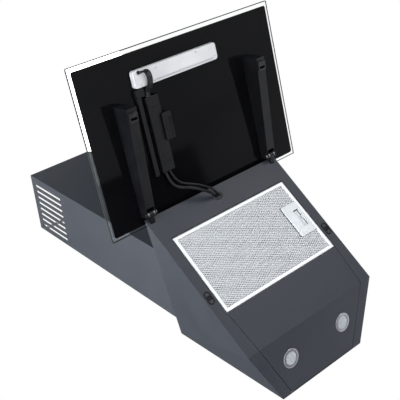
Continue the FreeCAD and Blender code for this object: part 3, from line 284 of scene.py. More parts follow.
finishLooks = {
    "hoodPaint": (grainedFinish, {
        "tones": ((0.022, 0.026, 0.034), (0.026, 0.030, 0.039)), "patch": 14, "grain": 900, "relief": 0.00003,
        "rough": (0.40, 0.47), "edge": 0.0008, "specular": 0.34}),
    "armPaint": (grainedFinish, {
        "tones": ((0.004, 0.004, 0.005), (0.006, 0.006, 0.0075)),
        "patch": 30, "grain": 1400, "relief": 0.00004,
        "rough": (0.34, 0.44), "edge": 0.0007, "specular": 0.26}),
    "darkSteel": (grainedFinish, {
        "tones": ((0.020, 0.020, 0.022), (0.035, 0.035, 0.037)),
        "patch": 90, "grain": 1500, "relief": 0.00003,
        "rough": (0.26, 0.36), "edge": 0.0005, "metal": 0.6}),
    "blackPlastic": (grainedFinish, {
        "tones": ((0.004, 0.004, 0.005), (0.006, 0.006, 0.007)),
        "patch": 40, "grain": 2600, "relief": 0.00005,
        "rough": (0.40, 0.52), "edge": 0.0005, "specular": 0.2}),
    "cableRubber": (grainedFinish, {
        "tones": ((0.005, 0.005, 0.006), (0.008, 0.008, 0.009)),
        "patch": 60, "grain": 2200, "relief": 0.00003,
        "rough": (0.13, 0.20), "specular": 0.20}),
    "gripRubber": (grainedFinish, {
        "tones": ((0.008, 0.008, 0.009), (0.012, 0.012, 0.013)),
        "patch": 50, "grain": 1800, "relief": 0.00005,
        "rough": (0.52, 0.64), "edge": 0.0004}),
    "palePlastic": (grainedFinish, {
        "tones": ((0.61, 0.64, 0.65), (0.67, 0.695, 0.71)), "patch": 26, "grain": 2600, "relief": 0.00004,
        "rough": (0.34, 0.42), "edge": 0.0005}),
    "controlPlastic": (grainedFinish, {
        "tones": ((0.55, 0.55, 0.56), (0.62, 0.62, 0.63)), "patch": 18, "grain": 2400, "relief": 0.00003,
        "rough": (0.30, 0.38), "edge": 0.0005}),
    "fanPlastic": (grainedFinish, {
        "tones": ((0.26, 0.28, 0.31), (0.30, 0.32, 0.35)), "patch": 20, "grain": 1600, "relief": 0.00004,
        "rough": (0.40, 0.50)}),
    "boardLacquer": (grainedFinish, {
        "tones": ((0.010, 0.075, 0.036), (0.016, 0.11, 0.05)), "patch": 320, "grain": 1500, "relief": 0.00003,
        "rough": (0.25, 0.4)}),
    "canLacquer": (grainedFinish, {
        "tones": ((0.68, 0.68, 0.66), (0.74, 0.74, 0.72)), "patch": 60, "grain": 1500, "relief": 0.00002,
        "rough": (0.25, 0.35)}),
    "castAlloy": (grainedFinish, {
        "tones": ((0.34, 0.35, 0.37), (0.42, 0.43, 0.45)), "patch": 120, "grain": 1500, "relief": 0.00012,
        "rough": (0.42, 0.55), "metal": 1.0}),
    "blackEnamel": (grainedFinish, {
        "tones": ((0.0025, 0.0025, 0.003), (0.0035, 0.0035, 0.004)),
        "patch": 8, "grain": 60, "relief": 0.000004,
        "rough": (0.05, 0.09), "specular": 0.07}),
    "zincSheet": (spangledFinish, {
        "tones": ((0.46, 0.48, 0.50), (0.62, 0.64, 0.66)), "grain": 130, "relief": 0.00001,
        "rough": (0.30, 0.48), "metal": 1.0, "edge": 0.0006}),
    "brightSteel": (brushedFinish, {
        "tones": ((0.62, 0.62, 0.63), (0.74, 0.74, 0.75)),
        "stretch": (1, 18, 18), "grain": 120, "relief": 0.00001,
        "rough": (0.18, 0.30), "metal": 1.0, "edge": 0.0003}),
    "pinSteel": (brushedFinish, {
        "tones": ((0.19, 0.19, 0.20), (0.27, 0.27, 0.28)),
        "stretch": (1, 18, 18), "grain": 120, "relief": 0.00001,
        "rough": (0.30, 0.40), "metal": 1.0, "edge": 0.0003}),
    "filterAlloy": (brushedFinish, {
        "tones": ((0.77, 0.785, 0.80), (0.85, 0.865, 0.88)),
        "stretch": (1, 26, 26), "grain": 70, "relief": 0.00001,
        "rough": (0.34, 0.46), "metal": 0.55, "edge": 0.0004}),
    "lampAlloy": (brushedFinish, {
        "tones": ((0.35, 0.36, 0.38), (0.50, 0.51, 0.53)),
        "stretch": (1, 10, 10), "grain": 160, "relief": 0.00001,
        "rough": (0.24, 0.34), "metal": 1.0, "edge": 0.0003}),
    "coverGlass": (glassFinish, {
        "tones": ((0.975, 0.99, 0.985), (0.985, 0.995, 0.99)),
        "patch": 6, "relief": 0.000002, "rough": (0.0, 0.01),
        "clear": 1.0, "ior": 1.5, "specular": 0.25}),
    "glassEdge": (glassFinish, {
        "tones": ((0.010, 0.015, 0.013), (0.018, 0.025, 0.022)),
        "patch": 40, "relief": 0.00001, "rough": (0.30, 0.42),
        "ior": 1.5, "specular": 0.2}),
    # painted shade and glints: the deeper aluminium layers drawn darker, with bright cells
    "deepLayers": (spangledFinish, {
        "tones": ((0.28, 0.29, 0.30), (0.60, 0.61, 0.62)),
        "grain": 260, "relief": 0.0006, "rough": (0.4, 0.6),
        "metal": 0.4}),
    "lensGlass": (glassFinish, {
        "tones": ((0.41, 0.44, 0.47), (0.61, 0.64, 0.67)),
        "patch": 160, "relief": 0.00005, "rough": (0.32, 0.42),
        "clear": 0.35, "ior": 1.49}),
}
finishes = {name: make(name, look) for name, (make, look) in finishLooks.items()}

# Which finish each carried-over node wears.
nodeFinishes = {
    "hoodPaint": ("body_shell", "lamp_panel", "chimney_cover", "chimney_screws"),
    "armPaint": ("hinge_arm_left", "hinge_arm_right", "hinge_bracket_left", "hinge_bracket_right"),
    "zincSheet": ("back_panel", "chimney_bracket", "filter_surround", "fan_housing", "fan_front_plate",
                  "scroll_wall", "electronics_box", "panel_clips"),
    "darkSteel": ("door_strikers",),
    "pinSteel": ("hinge_pins", "friction_washers"),
    "brightSteel": ("damper_pins", "motor_shaft", "wheel_nut", "control_screws", "latch_spring"),
    "filterAlloy": ("filter_frame", "filter_mesh"),
    "palePlastic": ("latch_plate", "filter_latch"),
    "blackPlastic": ("catch_left", "catch_right", "cable_rail", "cable_cover", "connector_box",
                     "outlet_collar", "damper_flap_left", "damper_flap_right", "mains_gland"),
    "fanPlastic": ("impeller", "inlet_ring"),
    "castAlloy": ("motor_housing",),
    "controlPlastic": ("control_housing",),
    "coverGlass": ("glass_panel",),
    "blackEnamel": ("glass_print",),
    "gripRubber": ("cable_gland", "lead_sleeve", "motor_mounts"),
    "cableRubber": ("power_cable", "signal_cable", "control_lead"),
    "lampAlloy": ("lamp_bezel_left", "lamp_bezel_right", "lamp_housing_left", "lamp_housing_right"),
    "lensGlass": ("lamp_lens_left", "lamp_lens_right"),
    "boardLacquer": ("circuit_board", "touch_board"),
    "canLacquer": ("capacitor",),
}
for finishName, members in nodeFinishes.items():
    for member in members:
        for materialSlot in nodes[member].material_slots:
            materialSlot.material = finishes[finishName]
print("finishes made:", len(finishes))


# mesh helpers
def meshFrom(skin, name):
    mesh = bpy.data.meshes.new(name)
    skin.to_mesh(mesh)
    skin.free()
    return mesh


sharpAngle = 32


# Rounded stretches are shaded smooth, and many-sided flat faces stay flat.
def shadeFaces(mesh):
    mesh.set_sharp_from_angle(angle=math.radians(sharpAngle))
    for face in mesh.polygons:
        face.use_smooth = len(face.vertices) <= 4


def addPiece(name, skin, finish, body, slot, *replaced):
    mesh = meshFrom(skin, name)
    piece = addObject(name, mesh)
    mesh.materials.append(finishes[finish])
    shadeFaces(mesh)
    if body:
        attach(piece, body)
    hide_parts(*replaced)
    return piece


# Joins rings of points into one skin; each ring has the same count.
# A loop joins its last ring to its first, and any other skin is closed at both ends.
def skinRings(rings, loop=False):
    skin = bmesh.new()
    rows = [[skin.verts.new(point) for point in ring] for ring in rings]
    count = len(rings[0])
    pairs = list(zip(rows, rows[1:]))
    if loop:
        pairs.append((rows[-1], rows[0]))
    for low, high in pairs:
        for i in range(count):
            after = (i + 1) % count
            skin.faces.new((low[i], low[after], high[after], high[i]))
    if not loop:
        skin.faces.new(reversed(rows[0]))
        skin.faces.new(rows[-1])
    bmesh.ops.recalc_face_normals(skin, faces=skin.faces)
    return skin


# A rectangle with rounded corners, drawn in by inset, in millimetres.
def roundedOutline(left, right, low, high, radius, inset=0.0, steps=6):
    left, right, low, high = left + inset, right - inset, low + inset, high - inset
    radius = max(radius - inset, 0.05)
    points = []
    for cx, cy, start in ((right - radius, high - radius, 0), (left + radius, high - radius, 90),
                          (left + radius, low + radius, 180), (right - radius, low + radius, 270)):
        for i in range(steps + 1):
            angle = math.radians(start + 90 * i / steps)
            points.append((cx + radius * math.cos(angle), cy + radius * math.sin(angle)))
    return points


# A plate whose edge follows a profile of (inset, height) pairs, in millimetres.
def plateSkin(plane, outline, profile, loop=False):
    rings = []
    for inset, height in profile:
        points = roundedOutline(*outline, inset=inset)
        rings.append([plane @ Vector((x * mm, y * mm, height * mm)) for x, y in points])
    return skinRings(rings, loop)


# A round shape whose side follows a profile of (radius, height) pairs, in millimetres.
def turnedSkin(plane, centre, profile, steps, loop=False):
    rings = []
    for radius, height in profile:
        ring = []
        for i in range(steps):
            angle = 2 * math.pi * i / steps
            x = centre[0] + radius * math.cos(angle)
            y = centre[1] + radius * math.sin(angle)
            ring.append(plane @ Vector((x * mm, y * mm, height * mm)))
        rings.append(ring)
    return skinRings(rings, loop)


# Profiles on top of a part are given as (inset, drop) pairs, the drop from its top.
def topEdge(top, edge):
    return [(inset, top - drop) for inset, drop in edge]


def spacedAlong(low, high, inset, count):
    return [low + inset + i * (high - low - 2 * inset) / (count - 1) for i in range(count)]


def joinSkins(skins):
    whole = bmesh.new()
    for skin in skins:
        part = meshFrom(skin, "part")
        whole.from_mesh(part)
        bpy.data.meshes.remove(part)
    return whole


def plateCutter(plane, outline, profile):
    return addObject("cutter", meshFrom(plateSkin(plane, outline, profile), "cutter"))


def turnedCutter(plane, centre, profile, steps=32):
    return addObject("cutter", meshFrom(turnedSkin(plane, centre, profile, steps), "cutter"))


# Cuts the tools out of a piece for good.
def cutAway(piece, *tools):
    for tool in tools:
        cutter = piece.modifiers.new("cut", "BOOLEAN")
        cutter.operation = "DIFFERENCE"
        cutter.object = tool
        cutter.solver = "EXACT"
    bpy.context.view_layer.update()
    done = bpy.data.meshes.new_from_object(piece.evaluated_get(bpy.context.evaluated_depsgraph_get()))
    piece.modifiers.clear()
    old = piece.data
    piece.data = done
    bpy.data.meshes.remove(old)
    for tool in tools:
        bpy.data.objects.remove(tool)
    shadeFaces(piece.data)


# cords: millimetres, from the grommet in the body to the cover on the glass
cordSetup = {
    "powerCable": {"node": "power_cable", "radius": 4.0, "length": 0.1695, "stiffness": "medium",
                   "route": [(-7.9, -353.4, 103.6), (-20.4, -371.1, 99.5), (-40, -386.5, 101.5),
                             (-72, -404, 117), (-101, -409.2, 130.9), (-116.5, -429.0, 143.4),
                             (-119, -452.0, 150.6)]},
    "signalCable": {"node": "signal_cable", "radius": 3.0, "length": 0.1639, "stiffness": "medium",
                    "route": [(2.3, -353.4, 103.6), (-10.2, -371.1, 99.5), (-26, -389, 106),
                              (-56, -405, 119), (-88, -414.7, 133.6), (-103, -434.8, 145.0),
                              (-106, -452.0, 150.6)]},
    "controlLead": {"node": "control_lead", "radius": 1.6, "length": 0.0922, "stiffness": "limp",
                    "route": [(-131, -691.3, 198.7), (-131, -693.5, 187.9), (-117, -697.0, 183.9),
                              (-109, -681.0, 182.6), (-112, -660.4, 179.8), (-117, -648.3, 187.6),
                              (-117.5, -634.0, 186.7)],
                    # a flat bundle of wires; where it spreads and narrows is a share of its length
                    "bundle": {"strands": 4, "width": 15.2, "bunch": 0.9,
                               "spreadFrom": 0.12, "spreadOver": 0.3,
                               "narrowFrom": 0.75, "narrowing": 0.35, "leastTurn": 0.2}},
}
lineSetup = {"resolution": 14, "order": 3}


# The smooth line through a route's control points.
def routeLine(name, route):
    curve = bpy.data.curves.new(name + "Line", "CURVE")
    curve.dimensions = "3D"
    curve.resolution_u = lineSetup["resolution"]
    spline = curve.splines.new("NURBS")
    spline.points.add(len(route) - 1)
    for point, place in zip(spline.points, route):
        point.co = (*(c * mm for c in place), 1)
    spline.order_u = lineSetup["order"]
    spline.use_endpoint_u = True
    guide = addObject(name + "Line", curve)
    bpy.context.view_layer.update()
    line = bpy.data.meshes.new_from_object(guide.evaluated_get(bpy.context.evaluated_depsgraph_get()))
    points = [vertex.co.copy() for vertex in line.vertices]
    bpy.data.objects.remove(guide)
    return points


def lineWay(points, i):
    return (points[min(i + 1, len(points) - 1)] - points[max(i - 1, 0)]).normalized()


# One wire of a flat bundle: bunched at both ends, side by side between them.
def bundledLine(points, look, index, radius):
    bunch = look["bunch"]
    bunchSide, bunchOff = [(bunch, 0), (0, bunch), (-bunch, 0), (0, -bunch)][index % 4]
    across = (index / (look["strands"] - 1) - 0.5) * (look["width"] * mm - 2 * radius)
    off = doorPlane.to_3x3() @ Vector((0, 0, 1))
    side = Vector((1, 0, 0))
    line = []
    for i, point in enumerate(points):
        turned = lineWay(points, i).cross(off)
        if turned.length > look["leastTurn"]:
            side = turned.normalized()
        share = i / (len(points) - 1)
        opening = min(1, max(0, (share - look["spreadFrom"]) / look["spreadOver"]))
        closing = max(0, (share - look["narrowFrom"]) / (1 - look["narrowFrom"]))
        flat = opening * (1 - look["narrowing"] * closing)
        flat = flat * flat * (3 - 2 * flat)
        line.append(point + (side * bunchSide + off * bunchOff) * radius * (1 - flat) + side * across * flat)
    return line


# Sweeps a round section along a line.
def sweptSkin(points, radius, steps=20):
    rings = []
    side = Vector((1, 0, 0))
    for i, point in enumerate(points):
        ahead = lineWay(points, i)
        side = (side - ahead * side.dot(ahead)).normalized()
        across = ahead.cross(side)
        rings.append([point + (side * math.cos(a) + across * math.sin(a)) * radius
                      for a in (2 * math.pi * k / steps for k in range(steps))])
    return skinRings(rings)


def makeCords():
    for name, look in cordSetup.items():
        points = routeLine(name, look["route"])
        radius = look["radius"] * mm
        bundle = look.get("bundle")
        lines = [points]
        if bundle:
            lines = [bundledLine(points, bundle, i, radius) for i in range(bundle["strands"])]
        cables = []
        for i, line in enumerate(lines):
            label = name + (str(i + 1) if i else "")
            replaced = () if i else (look["node"],)
            body = "door" if bundle else None
            cables.append(addPiece(label, sweptSkin(line, radius), "cableRubber", body, "rubber", *replaced))
        # a single cable has its placement baked into its mesh
        if not bundle:
            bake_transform(cables[0])


makeCords()
print("cords laid")


# glass cover
coverGlass = {"outline": (-300, 300, 0, 410, 3), "thickness": 5.0, "arris": 1.7,
              # inset in parts of the arris, and drop in parts of its depth
              "grind": ((1, 0), (0.35, 0.22), (0, 1)), "grindDepth": 1.02,
              # faces that lean more than this are the ground edge
              "lean": 0.99}


def makeCoverGlass():
    deep, arris, drop = coverGlass["thickness"], coverGlass["arris"], coverGlass["grindDepth"]
    back = [(inset * arris, -deep + share * drop) for inset, share in coverGlass["grind"]]
    front = [(inset * arris, -share * drop) for inset, share in reversed(coverGlass["grind"])]
    skin = plateSkin(doorPlane, coverGlass["outline"], back + front)
    pane = addPiece("coverGlass", skin, "coverGlass", "door", "clear_glass", "glass_panel")
    pane.data.materials.append(finishes["glassEdge"])
    across = doorPlane.to_3x3() @ Vector((0, 0, 1))
    for face in pane.data.polygons:
        if abs(face.normal.dot(across)) < coverGlass["lean"]:
            face.material_index = 1


# parts on the glass stand on its print
printTop = 0.4


def glassPlate(outline, top, edge):
    return plateSkin(doorPlane, outline, [(0, printTop), *topEdge(top, edge)])


# touch unit on the back of the glass
touchUnit = {"outline": (-147.5, 101, 317.8, 358.6, 7), "depth": 13.0,
             "seam": ((0, 4.0), (0.35, 4.15), (0.35, 4.6), (0, 4.75)),
             "edge": ((0, 2.2), (0.3, 1.1), (1.0, 0.35), (2.1, 0)),
             "leadHole": (-131, 352), "leadBore": ((4.6, 8), (4.6, 0.8), (5.6, -0.4)),
             "groove": (-97, 88, 322, 325.6, 0.9), "grooveEdge": ((0, 3.0), (0, -1)),
             "screws": ((-83, 351.2), (39, 351.2), (-129, 322.5), (92.5, 327)),
             "screwHole": ((2.6, 1.3), (2.6, 0.2), (3.1, -0.2)),
             "screwHead": ((2.4, 1.25), (2.4, 0.7), (2.0, 0.35), (1.1, 0.25)), "screwSteps": 24,
             "cross": ((0.35, 1.5), (1.5, 0.35)), "crossCorner": 0.1, "crossEdge": ((0, 0.4), (0, 0.16))}


def makeTouchUnit():
    look = touchUnit
    top, steps = look["depth"], look["screwSteps"]
    profile = [(0, printTop), *look["seam"], *topEdge(top, look["edge"])]
    case = addPiece("touchCase", plateSkin(doorPlane, look["outline"], profile), "controlPlastic", "door",
                    "control_plastic", "control_housing")
    tools = [turnedCutter(doorPlane, look["leadHole"], topEdge(top, look["leadBore"])),
             plateCutter(doorPlane, look["groove"], topEdge(top, look["grooveEdge"]))]
    heads = []
    for x, y in look["screws"]:
        tools.append(turnedCutter(doorPlane, (x, y), topEdge(top, look["screwHole"]), steps))
        heads.append(turnedSkin(doorPlane, (x, y), topEdge(top, look["screwHead"]), steps))
        for width, length in look["cross"]:
            bar = (x - width, x + width, y - length, y + length, look["crossCorner"])
            heads.append(plateSkin(doorPlane, bar, topEdge(top, look["crossEdge"])))
    cutAway(case, *tools)
    addPiece("touchScrews", joinSkins(heads), "brightSteel", "door", "steel", "control_screws")


# wire rail: a body, ribs across it and a head beside the touch unit
railLook = {"outline": (-149, -136.5, 106, 298, 3), "depth": 10.0,
            "edge": ((0, 2.6), (0.6, 1.0), (2.0, 0.1), (3.2, 0)),
            "ribs": 9, "ribInset": 12, "ribReach": 0.5, "ribHalf": 1.6, "ribCorner": 1.2,
            "ribEdge": ((0, 3.4), (0.6, 2.6)),
            "head": (-149, -126, 296, 315, 2), "headDepth": 12.0,
            "headEdge": ((0, 1.6), (0.5, 0.6), (1.6, 0))}


def makeWireRail():
    look = railLook
    left, right, low, high, _ = look["outline"]
    reach, half = look["ribReach"], look["ribHalf"]
    skins = [glassPlate(look["outline"], look["depth"], look["edge"])]
    for y in spacedAlong(low, high, look["ribInset"], look["ribs"]):
        rib = (left - reach, right + reach, y - half, y + half, look["ribCorner"])
        skins.append(glassPlate(rib, look["depth"], look["ribEdge"]))
    skins.append(glassPlate(look["head"], look["headDepth"], look["headEdge"]))
    addPiece("wireRail", joinSkins(skins), "blackPlastic", "door", "black_plastic", "cable_rail")


# wire cover: a channel open at both ends, with a seam near each end
wireCoverLook = {"outline": (-129, -92, 108, 293, 4), "depth": 13.0,
                 "edge": ((0, 3.4), (0.5, 1.6), (1.5, 0.5), (3.2, 0)),
                 "wall": 2, "openEnd": 5, "channelCorner": 1, "channelFloor": -1,
                 "seamInset": 26, "seamReach": 2, "seamHalf": 0.5, "seamCorner": 0.4,
                 "seamEdge": ((0, 0.6), (0, -1))}


def makeWireCover():
    look = wireCoverLook
    top, wall, end = look["depth"], look["wall"], look["openEnd"]
    left, right, low, high, _ = look["outline"]
    shell = addPiece("wireCover", glassPlate(look["outline"], top, look["edge"]), "blackPlastic", "door",
                     "black_plastic", "cable_cover")
    channel = (left + wall, right - wall, low - end, high + end, look["channelCorner"])
    tools = [plateCutter(doorPlane, channel, [(0, look["channelFloor"]), (0, top - wall)])]
    reach, half = look["seamReach"], look["seamHalf"]
    for y in spacedAlong(low, high, look["seamInset"], 2):
        seam = (left - reach, right + reach, y - half, y + half, look["seamCorner"])
        tools.append(plateCutter(doorPlane, seam, topEdge(top, look["seamEdge"])))
    cutAway(shell, *tools)


# connector box: a foot, a wider lid with a recess, and slats in the recess
plugBoxLook = {"outline": (-100.5, -74, 181, 247, 4), "foot": (-91.9, -74.6, 181.6, 246.4, 3), "depth": 19.0,
               "footEdge": ((0, 5.2),),
               "edge": ((0.6, 5.6), (0, 5.0), (0, 2.4), (0.4, 1.0), (1.2, 0.25), (2.4, 0)),
               "recess": (-95.5, -79.5, 189, 235, 3), "recessEdge": ((0.8, 2.2), (0, 1.6), (0, -1)),
               "slats": 5, "slatInset": 9, "slatSide": 1.6, "slatHalf": 2.2, "slatCorner": 1.2,
               "slatEdge": ((0, 2.3), (0, 1.3), (0.5, 0.9))}


def makePlugBox():
    look = plugBoxLook
    top, side, half = look["depth"], look["slatSide"], look["slatHalf"]
    foot = glassPlate(look["foot"], top, look["footEdge"])
    addPiece("plugFoot", foot, "blackPlastic", "door", "black_plastic", "connector_box")
    lid = plateSkin(doorPlane, look["outline"], topEdge(top, look["edge"]))
    box = addPiece("plugBox", lid, "blackPlastic", "door", "black_plastic")
    cutAway(box, plateCutter(doorPlane, look["recess"], topEdge(top, look["recessEdge"])))
    left, right, low, high, _ = look["recess"]
    slats = []
    for y in spacedAlong(low, high, look["slatInset"], look["slats"]):
        slat = (left + side, right - side, y - half, y + half, look["slatCorner"])
        slats.append(plateSkin(doorPlane, slat, topEdge(top, look["slatEdge"])))
    addPiece("plugLatches", joinSkins(slats), "blackPlastic", "door", "black_plastic")


# ribbed relief where the touch unit's lead enters the cover
reliefLook = {"place": (-118, 293, 8), "length": 11.6, "steps": 40,
              "bore": 4.05, "flange": ((7.0, 0.1), (7.0, 1.8)), "tip": 4.6,
              "ribs": 4, "ribStart": 2, "ribRadius": 6.7, "taper": 0.35,
              # (change of radius, share of the pitch) pairs along one rib
              "rib": ((-1.1, 0), (-1.0, 0.3), (0, 0.42), (0, 0.9))}


def makeRelief():
    look = reliefLook
    place = Matrix.Translation([c * mm for c in look["place"]])
    plane = doorPlane @ place @ Matrix.Rotation(math.radians(-90), 4, "X")
    pitch = (look["length"] - look["ribStart"]) / look["ribs"]
    profile = [(look["bore"], look["flange"][0][1]), *look["flange"]]
    for i in range(look["ribs"]):
        radius = look["ribRadius"] - look["taper"] * i
        low = look["ribStart"] + pitch * i
        profile += [(radius + change, low + share * pitch) for change, share in look["rib"]]
    profile += [(look["tip"], look["length"]), (look["bore"], look["length"])]
    relief = turnedSkin(plane, (0, 0), profile, look["steps"])
    addPiece("leadRelief", relief, "gripRubber", "door", "rubber", "lead_sleeve")


# grommet in the body, with two passages that lean towards the cover on the glass
grommetLook = {"outline": (-19, 9, 17, 37, 9.8), "neck": (-17.5, 7.5, 18.4, 35.6, 8.4),
               "edge": ((0, 0), (0, -1.4), (0.5, -2.3), (1.6, -3.0), (4.6, -2.9), (5.4, -2.2)),
               "neckEdge": ((0.6, 4.4), (0, 3.8), (0, -0.6)),
               # (place across, radius) pairs of the passages
               "passages": ((-10.2, 4.4), (0, 3.4)), "along": 27, "way": (-0.5654, -0.3057, -0.7660),
               "reach": 16}


def passageCutter(x, radius):
    place = Matrix.Translation((x * mm, grommetLook["along"] * mm, 0))
    turn = Vector(grommetLook["way"]).to_track_quat("Z", "Y").to_matrix().to_4x4()
    reach = grommetLook["reach"]
    return turnedCutter(slantPlane @ place @ turn, (0, 0), [(radius, -reach), (radius, reach)])


def makeGrommet():
    flangeSkin = plateSkin(slantPlane, grommetLook["outline"], grommetLook["edge"])
    flange = addPiece("grommet", flangeSkin, "gripRubber", "hood", "rubber", "cable_gland")
    neckSkin = plateSkin(slantPlane, grommetLook["neck"], grommetLook["neckEdge"])
    neck = addPiece("grommetNeck", neckSkin, "gripRubber", "hood", "rubber")
    for piece in (flange, neck):
        cutAway(piece, *[passageCutter(x, radius) for x, radius in grommetLook["passages"]])


# grease filter: folded rim, two expanded layers and a pad behind them, painted with the shade and glints of
# deeper layers
filterLook = {"outline": (-181, 181, 70.7, 282.7, 1.6),
              "rim": ((0, 8.4), (0, 0.5), (0.25, -0.2), (0.9, -0.6), (7.2, -0.6), (8.0, -0.25), (8.3, 0.4),
                      (8.5, 2.0), (8.5, 8.4)),
              "pad": (-172.2, 172.2, 79.5, 273.9, 1), "padEdge": ((0, 6.6), (0, 7.4))}
latticeLook = {"left": -172.3, "right": 172.3, "low": 79.4, "high": 274.0, "strand": 1.25, "gauge": 0.5,
               # shares of a strand's swing: kept free at both ends, and used by the zigzag
               "margin": 0.6, "zigzag": 0.9,
               "wave": 0.8, "waveLength": 13.2, "sway": 0.35, "swayLength": 31,
               # the latch stands right of the first number, between the others
               "room": (122.2, 132.2, 221.8)}
latticeLayers = {
    "filterLattice": {"cell": 10.5, "pitch": 2.7, "height": 1.3, "phase": 0, "slope": 0.32,
                      "replaced": ("filter_mesh",)},
    "filterLatticeInner": {"cell": 12.0, "pitch": 3.1, "height": 3.0, "phase": 1, "slope": -0.32,
                           "replaced": ()},
}


# One layer of expanded sheet: zigzag strands that touch their neighbours in turn, gently corrugated.
def latticeSkin(layer):
    look = latticeLook
    left, right, low, high = look["left"], look["right"], look["low"], look["high"]
    strand, phase, slope = look["strand"], layer["phase"], layer["slope"]
    swing = layer["pitch"] / 2
    margin = look["margin"]
    w, g = strand / 2, look["gauge"] / 2
    rows = int((high - low - strand) / layer["pitch"])
    columns = int((right - left) / (layer["cell"] / 2))
    roomLeft, roomLow, roomHigh = look["room"]
    skin = bmesh.new()
    for row in range(rows + 1):
        middle = low + w + swing * margin + row * (high - low - strand - swing * (2 * margin)) / rows
        previous = None
        for column in range(columns + 1):
            x = left + column * (right - left) / columns
            y = middle + (swing if (row + column + phase) % 2 else -swing) * look["zigzag"]
            if x > roomLeft and roomLow < y < roomHigh:
                previous = None
                continue
            sway = look["sway"] * math.sin(x / look["swayLength"] + phase)
            lift = layer["height"] + look["wave"] * math.sin(2 * math.pi * (y / look["waveLength"] + sway))
            section = ((y - w, lift - g - slope), (y + w, lift - g + slope),
                       (y + w, lift + g + slope), (y - w, lift + g - slope))
            ring = [skin.verts.new(slantPlane @ Vector((x * mm, a * mm, b * mm))) for a, b in section]
            if previous:
                for i in range(4):
                    skin.faces.new((previous[i], previous[(i + 1) % 4], ring[(i + 1) % 4], ring[i]))
            previous = ring
    bmesh.ops.recalc_face_normals(skin, faces=skin.faces)
    return skin


def makeFilter():
    rim = plateSkin(slantPlane, filterLook["outline"], filterLook["rim"], loop=True)
    addPiece("filterRim", rim, "filterAlloy", "hood", "filter_aluminium", "filter_frame")
    for name, layer in latticeLayers.items():
        addPiece(name, latticeSkin(layer), "filterAlloy", "hood", "filter_aluminium", *layer["replaced"])
    pad = plateSkin(slantPlane, filterLook["pad"], filterLook["padEdge"])
    addPiece("filterPad", pad, "deepLayers", "hood", "filter_aluminium")


# latch plate with a slot, and the slide below it, scooped for a finger, with black strips of painted shade in
# its two slits
latchLook = {"outline": (122, 172.3, 132, 222, 4), "edge": ((0, 1.2), (0, -0.8), (0.35, -1.35), (1.1, -1.6)),
             "under": (123.5, 175, 133.5, 220.5, 2), "underEdge": ((0, 3), (0, 0)),
             "slot": (147, 165, 152, 202, 2.5), "slotEdge": ((0, 2), (0, -1.0), (0.6, -1.7)),
             "slide": (136, 170.4, 138, 216, 2), "slideEdge": ((0, 4.2), (0, 0.25)),
             "scoop": (147.4, 164.6, 152.4, 201.6, 2.2),
             "scoopEdge": ((1.2, 2.4), (0.4, 2.1), (0, 1.4), (0, -1)),
             "gaps": ((149.4, 164.3, 152.7, 155.4, 0.3), (161.6, 164.3, 153.0, 199.5, 0.3)),
             "gapEdge": ((0, 3.6), (0, -1)), "shadeStripEdge": ((0, 3.58), (0, 3.1)),
             "bolt": (157, 188, 171, 183, 1.5), "boltEdge": ((0.4, 5.4), (0, 5.0), (0, 2.8), (0.4, 2.4))}
springLook = {"first": 123.9, "last": 135.3, "along": 177, "off": 4, "radius": 1.5, "turns": 5,
              "turnSteps": 16, "wire": 0.3, "wireSteps": 8}


def springLine():
    look = springLook
    first, last, radius = look["first"], look["last"], look["radius"]
    count = look["turnSteps"] * look["turns"]
    line = []
    for i in range(count + 1):
        angle = 2 * math.pi * i / look["turnSteps"]
        x = first + (last - first) * i / count
        y = look["along"] + radius * math.cos(angle)
        line.append(slantPlane @ (Vector((x, y, look["off"] + radius * math.sin(angle))) * mm))
    return line


def latchShape(shape):
    return plateSkin(slantPlane, latchLook[shape], latchLook[shape + "Edge"])


def latchCutter(shape):
    return plateCutter(slantPlane, latchLook[shape], latchLook[shape + "Edge"])


def makeLatch():
    skin = plateSkin(slantPlane, latchLook["outline"], latchLook["edge"])
    plate = addPiece("latchPlate", skin, "palePlastic", "hood", "latch_plastic", "latch_plate")
    cutAway(plate, latchCutter("under"), latchCutter("slot"))
    slide = addPiece("latchSlider", latchShape("slide"), "palePlastic", "latch", "latch_plastic",
                     "filter_latch")
    gaps = [plateCutter(slantPlane, gap, latchLook["gapEdge"]) for gap in latchLook["gaps"]]
    cutAway(slide, latchCutter("scoop"), *gaps)
    # Black strips at the floor of the two slits are painted shade: they make the gaps read dark and deep.
    shadeStrips = joinSkins(plateSkin(slantPlane, gap, latchLook["shadeStripEdge"]) for gap in latchLook["gaps"])
    addPiece("latchShadeStrip", shadeStrips, "blackPlastic", "latch", "latch_plastic")

    # the spring has its placement baked into its mesh
    coil = springLine()
    spring = addPiece("latchSpring", sweptSkin(coil, springLook["wire"] * mm, springLook["wireSteps"]),
                      "brightSteel", None, "steel", "latch_spring")
    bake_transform(spring)
    addPiece("latchBolt", latchShape("bolt"), "palePlastic", "latch", "latch_plastic")


# lamps: a turned bezel, and a lens with pressed rings
lampLook = {"offset": 89.6, "distance": 67, "steps": 72,
            "bezel": ((15.55, 2.6), (15.55, -0.7), (16.0, -1.35), (16.8, -1.6), (21.8, -1.55), (23.0, -1.1),
                      (23.6, -0.3), (23.6, -0.02), (17.3, -0.02), (17.3, 2.6)),
            "lensEdge": ((15.5, 2.0), (15.5, -0.3), (15.1, -0.75)),
            "rings": 9, "ringStart": 14.5, "ringWidth": 0.9, "ringLevel": -0.8, "ringStep": 0.22}


def lensProfile():
    profile = list(lampLook["lensEdge"])
    for i in range(lampLook["rings"]):
        radius = lampLook["ringStart"] * (1 - i / lampLook["rings"])
        level = lampLook["ringLevel"] - lampLook["ringStep"] * (i % 2)
        profile += [(radius, level), (radius - lampLook["ringWidth"], level)]
    return profile


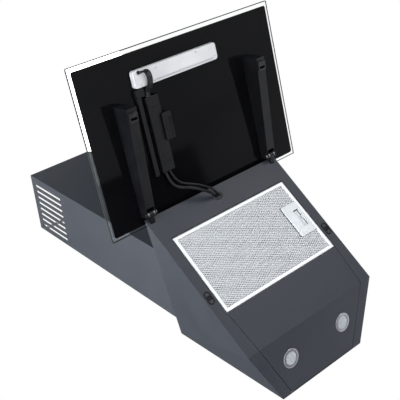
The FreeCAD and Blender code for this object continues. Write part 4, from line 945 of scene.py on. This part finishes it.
def makeLamps():
    steps = lampLook["steps"]
    for side, sign in (("Left", -1), ("Right", 1)):
        centre = (sign * lampLook["offset"], lampLook["distance"])
        node = side.lower()
        bezel = turnedSkin(lampPlane, centre, lampLook["bezel"], steps, loop=True)
        addPiece("lampBezel" + side, bezel, "lampAlloy", "hood", "lamp_metal", "lamp_bezel_" + node)
        lens = turnedSkin(lampPlane, centre, lensProfile(), steps)
        addPiece("lampLens" + side, lens, "lensGlass", "hood", "lamp_lens", "lamp_lens_" + node)


# catches beside the filter: an oblong cup with a steel floor and a dark well in the middle
catchLook = {"centre": 197, "along": 234.6, "length": 33, "width": 16, "flat": 0.1,
             "edge": ((0, 0), (0, -1.5), (0.35, -2.2), (1.1, -2.5)),
             "rim": 2.0, "recessEdge": ((0, -0.9), (0, -3)), "floorEdge": ((0.1, -0.85), (0.1, -1.1)),
             "bore": ((4.7, 1), (4.7, -3)), "wellSteps": 40,
             "well": ((6.0, -0.9), (6.0, -1.9), (5.6, -2.2), (5.0, -2.2), (4.7, -1.9), (4.7, -0.9))}


def makeCatches():
    look = catchLook
    for side, sign in (("Left", -1), ("Right", 1)):
        x, y = sign * look["centre"], look["along"]
        half, reach, rim = look["width"] / 2, look["length"] / 2, look["rim"]
        outline = (x - half, x + half, y - reach, y + reach, half - look["flat"])
        recess = (x - half + rim, x + half - rim, y - reach + rim, y + reach - rim, half - rim - look["flat"])
        cup = addPiece("catch" + side, plateSkin(slantPlane, outline, look["edge"]), "blackPlastic", "hood",
                       "black_plastic", "catch_" + side.lower())
        cutAway(cup, plateCutter(slantPlane, recess, look["recessEdge"]))
        floor = addPiece("catchFloor" + side, plateSkin(slantPlane, recess, look["floorEdge"]), "darkSteel",
                         "hood", "steel")
        cutAway(floor, turnedCutter(slantPlane, (x, y), look["bore"]))
        well = turnedSkin(slantPlane, (x, y), look["well"], look["wellSteps"], loop=True)
        addPiece("catchWell" + side, well, "blackPlastic", "hood", "black_plastic")


makeCoverGlass()
makeTouchUnit()
makeWireRail()
makeWireCover()
makePlugBox()
makeRelief()
makeGrommet()
makeFilter()
makeLatch()
makeLamps()
makeCatches()
print("detail pieces made")
